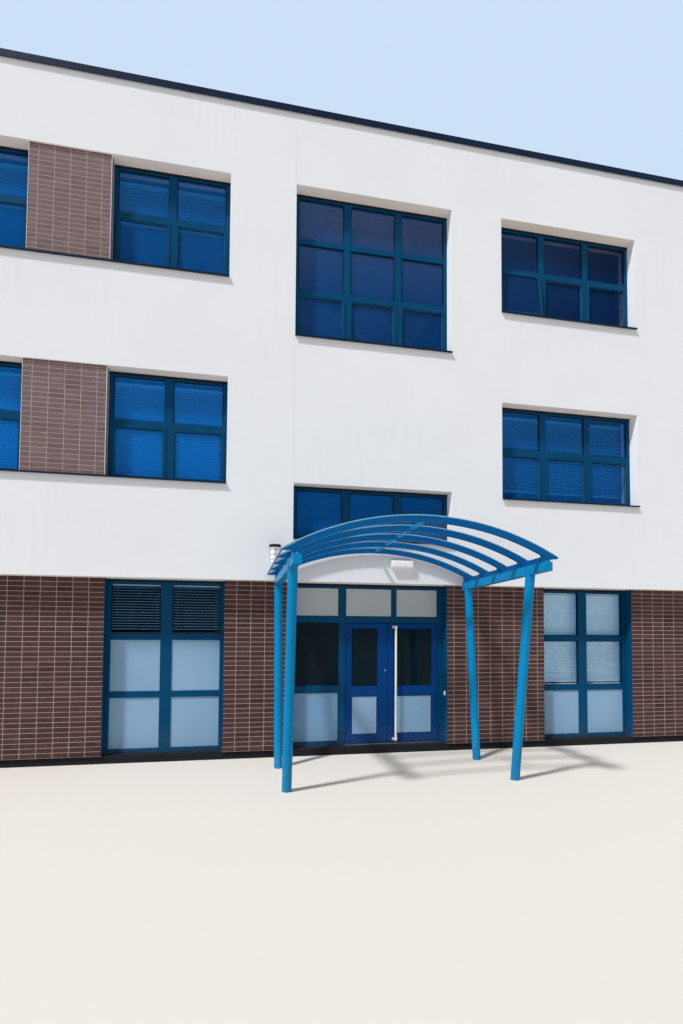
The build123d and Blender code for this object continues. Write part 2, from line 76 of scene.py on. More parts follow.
TOUCH = 0.0001  # how far pieces sink into what carries them
NEAR = TOUCH * 20  # lengths that differ by less are the same
STILL = Matrix()  # no further move
SHARP = math.radians(40)  # edges that turn by more stay sharp
DOME = 0.6  # a screw head's outer radius, as a share of its radius at the foot
HALF_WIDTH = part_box("front_wall_first_floor")[1].x
HALF_DEPTH = -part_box("front_wall_first_floor")[0].y
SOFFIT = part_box("front_brick_piers")[1].z
SECOND_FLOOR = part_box("second_floor_slab")[1].z
ROOF_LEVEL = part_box("roof_slab")[1].z
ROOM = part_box("roof_slab")[1]
DUST = (0.35, 0.32, 0.28)
SOFT = (0.3, 0.7)  # what soft noise mostly lies between
AGED = -0.12  # share of light that plastic and enamel lose in places
PASSAGE = (-1, 3)  # where along the ground floor its left gives way to its right


class Side(Enum):
    """A side of the building, by the turn that brings the front to it."""

    FRONT = 0
    RIGHT = 90
    BACK = 180
    LEFT = 270

    @property
    def label(self) -> str:
        """The side's word in the names of nodes and pieces."""
        return self.name.lower()

    @property
    def half(self) -> float:
        """Half the length of its wall."""
        return HALF_WIDTH if self in (Side.FRONT, Side.BACK) else HALF_DEPTH

    @property
    def place(self) -> Matrix:
        """The side's place in the frame.

        Returns:
            The move from its own u, v and z, with v inwards from the white face.
        """
        away = {
            Side.FRONT: (0, -HALF_DEPTH, 0),
            Side.RIGHT: (HALF_WIDTH, 0, 0),
            Side.BACK: (0, HALF_DEPTH, 0),
            Side.LEFT: (-HALF_WIDTH, 0, 0),
        }[self]
        return Matrix.Translation(away) @ Matrix.Rotation(math.radians(self.value), 4, "Z")


@dataclass(frozen=True)
class Block:
    """A box in a side's own u, v and z."""

    u0: float
    u1: float
    v0: float
    v1: float
    z0: float
    z1: float

    @property
    def storey(self) -> int:
        """0 on the ground floor, 1 and 2 above it."""
        return 0 if self.z0 < SOFFIT - TOUCH else 1 if self.z0 < SECOND_FLOOR else 2

    @property
    def middle(self) -> Pair:
        """Its middle along u and v."""
        return (self.u0 + self.u1) / 2, (self.v0 + self.v1) / 2


def blocks_of(node: str, side: Side = Side.FRONT) -> list[Block]:
    """Reads the box round each separate solid of a node.

    Args:
        node: Name of the node.
        side: The side whose own u, v and z the boxes are given in.

    Returns:
        The boxes, from the lowest up and from left to right.
    """
    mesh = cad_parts[node].data
    back = side.place.inverted()
    keys: dict[Face, int] = {}
    points: list[Vector] = []
    owner = []
    for vertex in mesh.vertices:
        key = tuple(round(value / TOUCH) for value in vertex.co)
        if key not in keys:
            keys[key] = len(points)
            points.append(back @ vertex.co)
        owner.append(keys[key])
    parent = list(range(len(points)))

    def root(index: int) -> int:
        """Finds the point that stands for a solid.

        Args:
            index: Any point of the solid.

        Returns:
            The point.
        """
        while parent[index] != index:
            parent[index] = parent[parent[index]]
            index = parent[index]
        return index

    for edge in mesh.edges:
        first, second = (root(owner[vertex]) for vertex in edge.vertices)
        parent[first] = second
    groups: dict[int, list[Vector]] = {}
    for index, point in enumerate(points):
        groups.setdefault(root(index), []).append(point)
    found = []
    for group in groups.values():
        limits = [(min(p[axis] for p in group), max(p[axis] for p in group)) for axis in range(3)]
        found.append(Block(*limits[0], *limits[1], *limits[2]))
    return sorted(found, key=lambda block: (round(block.z0, 3), round(block.u0, 3)))


def steps(start: float, end: float, step: float) -> Iterator[float]:
    """Counts in steps of one length.

    Args:
        start: The first place.
        end: What every place lies before.
        step: The distance from one place to the next.

    Returns:
        The places.
    """
    while start < end:
        yield start
        start += step


# Materials

class Tree:
    """A node tree, with shorthands for adding nodes and feeding their inputs."""

    def __init__(self, tree: bpy.types.NodeTree) -> None:
        """Empties a node tree, to fill it anew."""
        self.tree = tree
        tree.nodes.clear()

    def feed(self, socket: Socket, value: object) -> None:
        """Links a socket to another one, or sets its value.

        Args:
            socket: The input.
            value: An output socket, a number or a colour.
        """
        if isinstance(value, Socket):
            self.tree.links.new(value, socket)
        elif isinstance(value, tuple) and len(value) == 3 and len(socket.default_value) == 4:
            socket.default_value = (*value, 1.0)
        else:
            socket.default_value = value

    def node(self, kind: str, inputs: dict[object, object], **settings: object) -> bpy.types.Node:
        """Adds a node.

        Args:
            kind: Type of the node.
            inputs: Values or sockets for its inputs, by name or number.
            **settings: The node's own settings.

        Returns:
            The node.
        """
        made = self.tree.nodes.new(kind)
        for name, value in settings.items():
            setattr(made, name, value)
        for key, value in inputs.items():
            self.feed(made.inputs[key], value)
        return made

    def maths(self, operation: str, *values: object) -> Socket:
        """What an operation makes of one or two values."""
        return self.node("ShaderNodeMath", dict(enumerate(values)), operation=operation).outputs[0]

    def times(self, first: object, second: object) -> Socket:
        """One value times another."""
        return self.maths("MULTIPLY", first, second)

    def plus(self, first: object, second: object) -> Socket:
        """One value plus another."""
        return self.maths("ADD", first, second)


class Graph(Tree):
    """The node tree of one material: a principled shader, with shorthands for what feeds it."""

    def __init__(self, name: str) -> None:
        """Starts a material.

        Args:
            name: Name of the material.
        """
        self.material = bpy.data.materials.new(name)
        self.material.use_nodes = True
        super().__init__(self.material.node_tree)
        self.shader = self.node("ShaderNodeBsdfPrincipled", {})
        self.node("ShaderNodeOutputMaterial", {"Surface": self.shader.outputs["BSDF"]})
        self.place = self.node("ShaderNodeTexCoord", {}).outputs["Object"]

    def noise(
        self, size: float, detail: float = 3.0, rough: float = 0.5, stretch: Point = (1, 1, 1)
    ) -> Socket:
        """Soft random patches.

        Args:
            size: Width of a patch in metres.
            detail: How many finer layers are added.
            rough: How strong the finer layers are.
            stretch: How many times longer a patch is along X, Y and Z.

        Returns:
            A value about 0.5, between 0 and 1.
        """
        scale = tuple(1 / (size * longer) for longer in stretch)
        mapped = self.node("ShaderNodeMapping", {"Vector": self.place, "Scale": scale})
        inputs = {"Vector": mapped.outputs[0], "Scale": 1.0, "Detail": detail, "Roughness": rough}
        return self.node("ShaderNodeTexNoise", inputs).outputs[0]

    def spread(self, value: Socket, source: Pair, target: Pair) -> Socket:
        """A value brought from one range to another, and kept there."""
        inputs = {0: value, 1: source[0], 2: source[1], 3: target[0], 4: target[1]}
        return self.node("ShaderNodeMapRange", inputs, clamp=True).outputs[0]

    def patches(self, target: Pair, source: Pair = SOFT, **noise: object) -> Socket:
        """Soft random patches, brought to one range from another."""
        return self.spread(self.noise(**noise), source, target)

    def specks(self, size: float, source: Pair, share: float) -> Socket:
        """Specks in the middle of random cells of this width in metres, as strong as their share."""
        cells = self.node("ShaderNodeTexVoronoi", {"Vector": self.place, "Scale": 1 / size})
        return self.spread(cells.outputs["Distance"], source, (share, 0))

    def mix(self, share: object, first: object, second: object) -> Socket:
        """Two colours mixed, with this share of the second one."""
        return self.node("ShaderNodeMix", {0: share, 6: first, 7: second}, data_type="RGBA").outputs[2]

    def along(self, axis: str) -> Socket:
        """The place along X, Y or Z."""
        return self.node("ShaderNodeSeparateXYZ", {0: self.place}).outputs[axis]

    def above(self, level: float) -> Socket:
        """1 above a height, and 0 below it."""
        return self.spread(self.along("Z"), (level, level + TOUCH), (0, 1))

    def unless(self, flag: Socket) -> Socket:
        """1 where a flag is 0, and 0 where it is 1."""
        return self.plus(1, self.times(flag, -1))

    def nearer(self, axis: str, reach: float) -> Socket:
        """1 nearer than this to the building's middle along an axis, and 0 beyond."""
        return self.maths("LESS_THAN", self.maths("ABSOLUTE", self.along(axis)), reach)

    def indoors(self) -> Socket:
        """1 on the rooms' side of the outer walls, and 0 outside."""
        return self.times(self.nearer("X", ROOM.x + NEAR), self.nearer("Y", ROOM.y + NEAR))

    def recessed(self) -> Socket:
        """1 behind the outer faces of the walls, as in the reveals, and 0 on these faces."""
        return self.times(self.nearer("X", HALF_WIDTH - NEAR * 2), self.nearer("Y", HALF_DEPTH - NEAR * 2))

    def facing_down(self) -> Socket:
        """1 on undersides, and 0 elsewhere."""
        normal = self.node("ShaderNodeNewGeometry", {}).outputs["True Normal"]
        return self.spread(self.node("ShaderNodeSeparateXYZ", {0: normal}).outputs["Z"], (-0.9, -0.5), (1, 0))

    def tone(self) -> Socket:
        """The tone that each brick carries, between 0 and 1."""
        return self.node("ShaderNodeAttribute", {}, attribute_name="tone").outputs["Fac"]

    def bump(self, height: Socket, distance: float) -> None:
        """Raises and sinks the surface.

        Args:
            height: Where it is high, as a value.
            distance: Metres between its low and high places.
        """
        inputs: dict[object, object] = {"Height": height, "Distance": distance, "Strength": 1.0}
        normal = self.shader.inputs["Normal"]
        if normal.is_linked:
            inputs["Normal"] = normal.links[0].from_socket
        self.feed(normal, self.node("ShaderNodeBump", inputs).outputs[0])

    def finish(self, **values: object) -> None:
        """Sets the shader's inputs, each named with _ between its words."""
        for name, value in values.items():
            self.feed(self.shader.inputs[name.replace("_", " ").title().replace("Ior", "IOR")], value)


def shade(colour: Colour, share: float) -> Colour:
    """A colour with this share of its light added, or taken away where the share is negative."""
    return tuple(value * (1 + share) for value in colour)


@dataclass(frozen=True)
class Coat:
    """What covers a surface. Painted glow, which stands in for light, is a share of a white surface; gloss is
    0.5 for glass.
    """

    name: str

    @functools.cache
    def material(self) -> bpy.types.Material:
        """Draws the coat the first time that it is asked for.

        Returns:
            Its material.
        """
        graph = Graph(self.name)
        self.draw(graph)
        return graph.material

    def draw(self, graph: Graph) -> None:
        """Draws the coat, each kind in its own way."""
        raise NotImplementedError


@dataclass(frozen=True)
class PaintedMetal(Coat):
    """Baked paint on metal: orange peel, patches of fade and dust low down."""

    colour: Colour  # when new
    rough: float = 0.36
    fade: float = 0.07  # share by which it is lighter or darker in places
    dust: float = 0.2  # share of dust near the ground
    peel: float = 0.00005  # depth of the orange peel
    gloss: float = 0.1
    over: Colour | None = None  # colour above a level, where it has another one there
    level: float = SOFFIT  # that level
    dusty: Pair = (0.02, 0.55)  # heights between which the dust thins out

    def draw(self, graph: Graph) -> None:
        """Draws the paint.

        Args:
            graph: The material's nodes.
        """
        patches = graph.patches((0, 1), (0.35, 0.65), size=0.9, detail=4)
        base = graph.mix(patches, shade(self.colour, -self.fade), shade(self.colour, self.fade))
        if self.over:
            over = graph.mix(patches, shade(self.over, -self.fade), shade(self.over, self.fade))
            base = graph.mix(graph.above(self.level), base, over)
        low = graph.spread(graph.along("Z"), self.dusty, (self.dust, 0))
        smears = graph.patches((0, 1), (0.4, 0.75), size=0.05, detail=5, rough=0.6)
        base = graph.mix(graph.times(low, smears), base, DUST)
        graph.bump(graph.noise(size=0.0022, detail=1), self.peel)
        graph.bump(graph.noise(size=0.25, detail=2), self.peel * 4)
        gloss = graph.patches((self.rough - 0.05, self.rough + 0.07), size=0.08, detail=3)
        graph.finish(base_color=base, roughness=gloss, specular_ior_level=self.gloss)


@dataclass(frozen=True)
class BareMetal(Coat):
    """Metal with no paint, brushed one way."""

    colour: Colour = (0.62, 0.63, 0.64)
    rough: float = 0.34
    brushing: float = 0.00003  # depth of the brush marks

    def draw(self, graph: Graph) -> None:
        """Draws the metal.

        Args:
            graph: The material's nodes.
        """
        grain = graph.noise(size=0.0015, detail=2, stretch=(1, 1, 30))
        stain = graph.patches((0, 0.35), (0.45, 0.7), size=0.06, detail=4)
        base = graph.mix(stain, self.colour, shade(self.colour, -0.4))
        graph.bump(grain, self.brushing)
        gloss = graph.spread(grain, SOFT, (self.rough - 0.06, self.rough + 0.1))
        graph.finish(base_color=base, roughness=gloss, metallic=1.0)


@dataclass(frozen=True)
class TrowelledRender(Coat):
    """White render: fine sand, trowel marks, faint clouds and streaks where rain runs down; paler reveals and
    warm undersides as painted light, and dark painted shade on the rooms' side.
    """

    colour: Colour = (0.79, 0.82, 0.868)  # on the outer faces
    clean: Colour = (0.92, 0.945, 0.98)  # in the reveals: paler, as painted sunlight on them
    head: Colour = (0.97, 0.88, 0.8)  # on undersides: painted warm light bounced up from the ground
    inner: Colour = (0.09, 0.09, 0.095)  # painted shade on the rooms' side, so that the rooms read dark
    streak: Colour = (0.42, 0.41, 0.4)
    speck: Colour = (0.4, 0.38, 0.36)
    cloud: float = 0.035  # share by which its clouds darken it
    sand: float = 0.0005  # height of its grain
    marks: float = 0.0012  # height of its trowel marks

    def draw(self, graph: Graph) -> None:
        """Draws the render.

        Args:
            graph: The material's nodes.
        """
        clouds = graph.patches((0, 1), size=1.1, detail=5, rough=0.55)
        base = graph.mix(clouds, shade(self.colour, -self.cloud), self.colour)
        streaks = graph.patches((0, 1), (0.52, 0.78), size=0.1, detail=4, rough=0.6, stretch=(1, 1, 14))
        places = graph.patches((0, 0.16), (0.45, 0.7), size=1.6, detail=2)
        base = graph.mix(graph.times(streaks, places), base, self.streak)
        base = graph.mix(graph.specks(0.35, (0.0, 0.018), 0.3), base, self.speck)
        # Painted light: paler render in the reveals for sunlight, warm render on undersides for light bounced
        # up from the ground.
        base = graph.mix(graph.recessed(), base, graph.mix(graph.facing_down(), self.clean, self.head))
        # Painted shade: dark render on the rooms' side.
        base = graph.mix(graph.indoors(), base, self.inner)
        graph.bump(graph.noise(size=0.003, detail=3, rough=0.6), self.sand)
        graph.bump(graph.noise(size=0.28, detail=3, rough=0.45, stretch=(1.6, 1.6, 1)), self.marks)
        graph.finish(base_color=base, roughness=0.86, specular_ior_level=0.2)


@dataclass(frozen=True)
class BlueBrick(Coat):
    """Dark brown-purple engineering brick: each one in its own tone, dragged, speckled, slightly smeared."""

    dark: Colour = (0.044, 0.0195, 0.0205)  # the darkest bricks
    light: Colour = (0.106, 0.05, 0.044)  # the palest bricks
    smear: Colour = (0.28, 0.2, 0.18)  # thin smears of mortar
    pores: float = 0.0007  # depth of its pores
    drag: float = 0.0006  # depth of its drag marks

    def draw(self, graph: Graph) -> None:
        """Draws the bricks.

        Args:
            graph: The material's nodes.
        """
        base = graph.mix(graph.tone(), self.dark, self.light)
        base = graph.mix(graph.patches((0, 0.45), size=0.05, detail=4, rough=0.6), base, self.dark)
        smears = graph.patches((0, 0.26), (0.56, 0.78), size=0.09, detail=5, rough=0.65)
        base = graph.mix(smears, base, self.smear)
        base = graph.mix(graph.specks(0.012, (0.05, 0.16), 0.55), base, shade(self.dark, -0.5))
        graph.bump(graph.noise(size=0.004, detail=4, rough=0.6), self.pores)
        graph.bump(graph.noise(size=0.012, detail=2, stretch=(6, 6, 1)), self.drag)
        gloss = graph.patches((0.62, 0.82), size=0.03, detail=3)
        graph.finish(base_color=base, roughness=gloss, specular_ior_level=0.2)


@dataclass(frozen=True)
class Mineral(Coat):
    """Mortar, concrete, felt or plaster: grain, pores and clouds in one colour."""

    colour: Colour
    grain: float = 0.0025  # width of its grain
    relief: float = 0.0007  # height of its grain
    cloud: float = 0.2  # share by which its clouds darken it
    rough: float = 0.9
    inner: Colour | None = None  # colour on the rooms' side, where it has another one there: painted shade for the mortar and the plinth
    under: float = ROOF_LEVEL * 2  # the level that the rooms' side lies under

    def draw(self, graph: Graph) -> None:
        """Draws the mineral.

        Args:
            graph: The material's nodes.
        """
        clouds = graph.patches((0, 1), size=0.35, detail=5, rough=0.6)
        base = graph.mix(clouds, shade(self.colour, -self.cloud), self.colour)
        grains = graph.noise(size=self.grain, detail=3, rough=0.7)
        base = graph.mix(graph.spread(grains, (0.55, 0.8), (0, 0.35)), base, shade(self.colour, 0.4))
        if self.inner:
            # The rooms' side in its own colour: painted shade for the mortar and the plinth.
            share = graph.times(graph.indoors(), graph.unless(graph.above(self.under)))
            base = graph.mix(share, base, self.inner)
        graph.bump(grains, self.relief)
        graph.finish(base_color=base, roughness=self.rough, specular_ior_level=0.2)


@dataclass(frozen=True)
class WindowGlass(Coat):
    """Float glass with a painted reflection of the sky in its colour upstairs, most at the left of the first
    floor, and clear below under a thin dark film of painted shade.
    """

    dull: Colour = (0.0007, 0.024, 0.115)  # painted sky reflection of a pane upstairs that mirrors little sky
    bright: Colour = (0.001, 0.215, 0.79)  # painted sky reflection of a pane upstairs that mirrors much sky
    share: float = 0.72  # share of painted sky reflection in the middle of the first floor
    drift: float = 0.062  # how much less there is for each metre to the right
    climb: float = 0.38  # how much less there is on the second floor
    ground: Colour = (0.001, 0.004, 0.012)  # painted shade: a dark film on the panes of the ground floor that darkens the rooms seen behind them
    veil: float = 0.4  # how much the painted sky reflection hides of what is behind the panes upstairs
    ground_veil: float = 0.1  # how much the painted shade film hides at the right of the ground floor
    left_veil: float = 0.28  # the same at its left
    dust: Colour = (0.4, 0.42, 0.43)
    wave: float = 0.0006  # height of its faint waves

    def draw(self, graph: Graph) -> None:
        """Draws the glass.

        Args:
            graph: The material's nodes.
        """
        upstairs = graph.above(SOFFIT)
        # Painted reflection: how much sky each pane upstairs mirrors, by place.
        painted_sky = graph.plus(graph.times(graph.along("X"), -self.drift), self.share)
        painted_sky = graph.plus(painted_sky, graph.times(graph.above(SECOND_FLOOR), -self.climb))
        cloud = graph.patches((-0.05, 0.05), size=1.5, detail=1)
        painted_sky = graph.spread(graph.plus(painted_sky, cloud), (0, 1), (0, 1))
        base = graph.mix(upstairs, self.ground, graph.mix(painted_sky, self.dull, self.bright))
        dust = graph.patches((0, 0.03), (0.5, 0.8), size=0.05, detail=5, rough=0.65)
        base = graph.mix(dust, base, self.dust)
        # Painted shade: the dark film on the ground floor, stronger at the left.
        below = graph.spread(graph.along("X"), PASSAGE, (self.left_veil, self.ground_veil))
        veil = graph.plus(graph.times(upstairs, self.veil), graph.times(graph.unless(upstairs), below))
        graph.bump(graph.noise(size=0.45, detail=1), self.wave)
        gloss = graph.patches((0.03, 0.07), (0.4, 0.7), size=0.06, detail=3)
        graph.finish(base_color=base, roughness=gloss, alpha=graph.plus(veil, dust), specular_ior_level=0.07)


@dataclass(frozen=True)
class ClearSheet(Coat):
    """Clear plastic sheet with fine scratches and a film of dust."""

    colour: Colour = (0.5, 0.72, 0.85)
    veil: float = 0.035  # how much of what is behind it is hidden

    def draw(self, graph: Graph) -> None:
        """Draws the sheet.

        Args:
            graph: The material's nodes.
        """
        film = graph.patches((self.veil * 0.8, self.veil * 1.4), (0.4, 0.75), size=0.12, detail=5, rough=0.6)
        gloss = graph.patches((0.07, 0.2), (0.4, 0.8), size=0.004, detail=2, rough=0.5, stretch=(40, 1, 1))
        graph.finish(base_color=self.colour, roughness=gloss, alpha=film, specular_ior_level=0.3)


@dataclass(frozen=True)
class Moulded(Coat):
    """Moulded plastic or rubber with a fine grain."""

    colour: Colour
    rough: float = 0.5
    painted_glow: float = 0.0  # painted glow: emission that stands in for daylight coming through it
    over: Colour | None = None  # colour upstairs, where it has another one there: on the tapes, painted reflection of the sky in the glass before them
    shine: float = 0.3  # its gloss
    grain: float = 0.00004  # height of its grain

    def draw(self, graph: Graph) -> None:
        """Draws the plastic.

        Args:
            graph: The material's nodes.
        """
        ageing = graph.patches((0, 1), (0.35, 0.7), size=0.08, detail=4)
        base = graph.mix(ageing, self.colour, shade(self.colour, AGED))
        if self.over:
            base = graph.mix(graph.above(SOFFIT), base, self.over)
        graph.bump(graph.noise(size=0.0012, detail=2), self.grain)
        gloss = graph.patches((self.rough - 0.06, self.rough + 0.08), size=0.02, detail=2)
        graph.finish(base_color=base, roughness=gloss, specular_ior_level=self.shine)
        if self.painted_glow:
            graph.finish(emission_color=self.colour, emission_strength=self.painted_glow)


@dataclass(frozen=True)
class BlindSlat(Coat):
    """Enamelled slat, white on the ground floor; upstairs blue, a painted sky reflection of the glass before
    it; painted shade grey on the other sides; the front's slats with a painted glow of daylight.
    """

    low: Colour = (0.82, 0.95, 0.98)  # on the ground floor
    grey: Colour = (0.1, 0.115, 0.13)  # painted shade on the other sides
    high: Colour = (0.05, 0.27, 0.5)  # upstairs: painted reflection of the sky in the glass before it
    sky: Colour = (0.1, 0.5, 1.0)  # colour of its painted glow, which stands in for daylight through the slats
    low_glow: float = 0.18  # how much painted glow at the right of the ground floor
    left_glow: float = 0.3  # at the left of the ground floor
    high_glow: float = 0.24  # on the first floor
    top_glow: float = 0.17  # on the second floor

    def draw(self, graph: Graph) -> None:
        """Draws the slats.

        Args:
            graph: The material's nodes.
        """
        upstairs = graph.above(SOFFIT)
        ageing = graph.patches((0, 1), (0.35, 0.7), size=0.08, detail=4)
        base = graph.mix(ageing, self.low, shade(self.low, AGED))
        front = graph.spread(graph.along("Y"), (-HALF_DEPTH * 0.85, -HALF_DEPTH * 0.8), (1, 0))
        # Painted shade on the other sides' slats, painted sky reflection upstairs.
        base = graph.mix(upstairs, graph.mix(front, self.grey, base), self.high)
        # Painted glow: emission, which stands in for daylight, on the front's slats.
        below = graph.spread(graph.along("X"), PASSAGE, (self.left_glow, self.low_glow))
        below = graph.times(graph.unless(upstairs), below)
        top = graph.times(graph.above(SECOND_FLOOR), self.top_glow - self.high_glow)
        painted_glow = graph.plus(below, graph.plus(graph.times(upstairs, self.high_glow), top))
        gloss = graph.patches((0.36, 0.5), size=0.02, detail=2)
        graph.finish(base_color=base, roughness=gloss, specular_ior_level=0.2)
        graph.finish(emission_color=self.sky, emission_strength=graph.times(front, painted_glow))


@dataclass(frozen=True)
class CeilingTile(Coat):
    """White ceiling tile, with a painted glow near the windows that stands in for their daylight."""

    colour: Colour = (0.62, 0.58, 0.55)
    painted_glow: float = 0.075  # painted glow beside the window
    reach: float = 2.6  # how far inwards its painted glow reaches
    relief: float = 0.0004  # height of its grain

    def draw(self, graph: Graph) -> None:
        """Draws the tiles.

        Args:
            graph: The material's nodes.
        """
        base = graph.mix(graph.specks(0.02, (0.05, 0.2), 0.35), self.colour, shade(self.colour, -0.5))
        # Painted light: emission that fades inwards from the windows.
        near = graph.spread(graph.along("Y"), (-ROOM.y, self.reach - ROOM.y), (self.painted_glow, self.painted_glow * 0.1))
        graph.bump(graph.noise(size=0.004), self.relief)
        graph.finish(base_color=base, roughness=0.9, specular_ior_level=0.2)
        graph.finish(emission_color=self.colour, emission_strength=near)


class Finish(Enum):
    """Every finish of the building."""

    RENDER = TrowelledRender("white_render")
    BRICK = BlueBrick("purple_brick")
    # Paler brick of the upper panels: partly their own paler tone, partly painted sunlight.
    PANEL_BRICK = BlueBrick(
        "pale_purple_brick", (0.13, 0.088, 0.094), (0.215, 0.15, 0.155), (0.36, 0.28, 0.27)
    )
    # Mortar and plinth are near black on the rooms' side: painted shade.
    MORTAR = Mineral("pink_mortar", (0.46, 0.37, 0.34), 0.0016, 0.0005, 0.12, inner=(0.07, 0.07, 0.075))
    # The plinth's near-black colour is painted shade of the gap under the bricks.
    PLINTH = Mineral("plinth_concrete", (0.014, 0.015, 0.018), 0.004, 0.001, 0.3, inner=(0.1, 0.1, 0.1))
    SCREED = Mineral("floor_concrete", (0.3, 0.29, 0.29), 0.003, 0.0006)
    FELT = Mineral(
        "roof_felt", (0.17, 0.18, 0.19), 0.0018, 0.0006, 0.25, 0.82, (0.5, 0.48, 0.46), ROOF_LEVEL - 0.02
    )
    TEAL = PaintedMetal("teal_frame_paint", (0.002, 0.058, 0.145), gloss=0.05)
    # Lighter teal beads on sashes and panels: painted highlight for sun on their edges.
    BEAD = PaintedMetal("teal_bead_paint", (0.03, 0.19, 0.31), 0.3)
    # Near-black beads on the fixed lights: painted shade round their panes.
    DARK_BEAD = PaintedMetal("dark_bead_paint", (0.002, 0.026, 0.055), 0.4, gloss=0.04)
    HEAD = PaintedMetal("head_strip_paint", (0.012, 0.02, 0.027), gloss=0.05)
    DOOR = PaintedMetal("door_paint", (0.0008, 0.043, 0.19), 0.3, gloss=0.06)
    CANOPY = PaintedMetal("canopy_paint", (0.001, 0.212, 0.465), 0.28, 0.08, 0.15, gloss=0.08)
    RIB = PaintedMetal("rib_paint", (0.001, 0.09, 0.27), 0.3, gloss=0.07)
    NAVY = PaintedMetal("coping_paint", (0.004, 0.012, 0.035), 0.42)
    WHITE = PaintedMetal("white_bar_paint", (0.78, 0.81, 0.83), 0.3, 0.02)
    PANEL = PaintedMetal("panel_laminate", (0.238, 0.395, 0.58), 0.42, 0.04, 0.1, 0.00003)
    SCREEN_PANEL = PaintedMetal(
        "screen_laminate", (0.17, 0.33, 0.51), 0.42, 0.03, 0.1, 0.00003, over=(0.42, 0.47, 0.5), level=2.1
    )
    STEEL = BareMetal("bare_metal")
    CAP = BareMetal("cap_metal", (0.3, 0.56, 0.72), 0.42)
    GLASS = WindowGlass("window_glass")
    # The entrance's glass carries a nearly opaque dark film: painted shade hiding the rooms.
    DOOR_GLASS = WindowGlass("entrance_glass", ground=(0.002, 0.012, 0.021), ground_veil=0.85, left_veil=0.85)
    SHEET = ClearSheet("clear_sheet")
    TILE = CeilingTile("ceiling_tile")
    RUBBER = Moulded("black_rubber", (0.005, 0.009, 0.013), 0.7, shine=0.08)
    # The lamp plastic, also on the push pad, carries a painted glow; no lamp is lit.
    LAMP = Moulded("lamp_plastic", (0.82, 0.83, 0.82), 0.35, 0.12)
    SLAT = BlindSlat("blind_slat")
    # The tapes' blue upstairs is a painted sky reflection.
    TAPE = Moulded("blind_tape", (0.5, 0.52, 0.52), 0.8, over=(0.08, 0.3, 0.5))

    @property
    def material(self) -> bpy.types.Material:
        """The material of this finish."""
        return self.value.material()


# Meshes

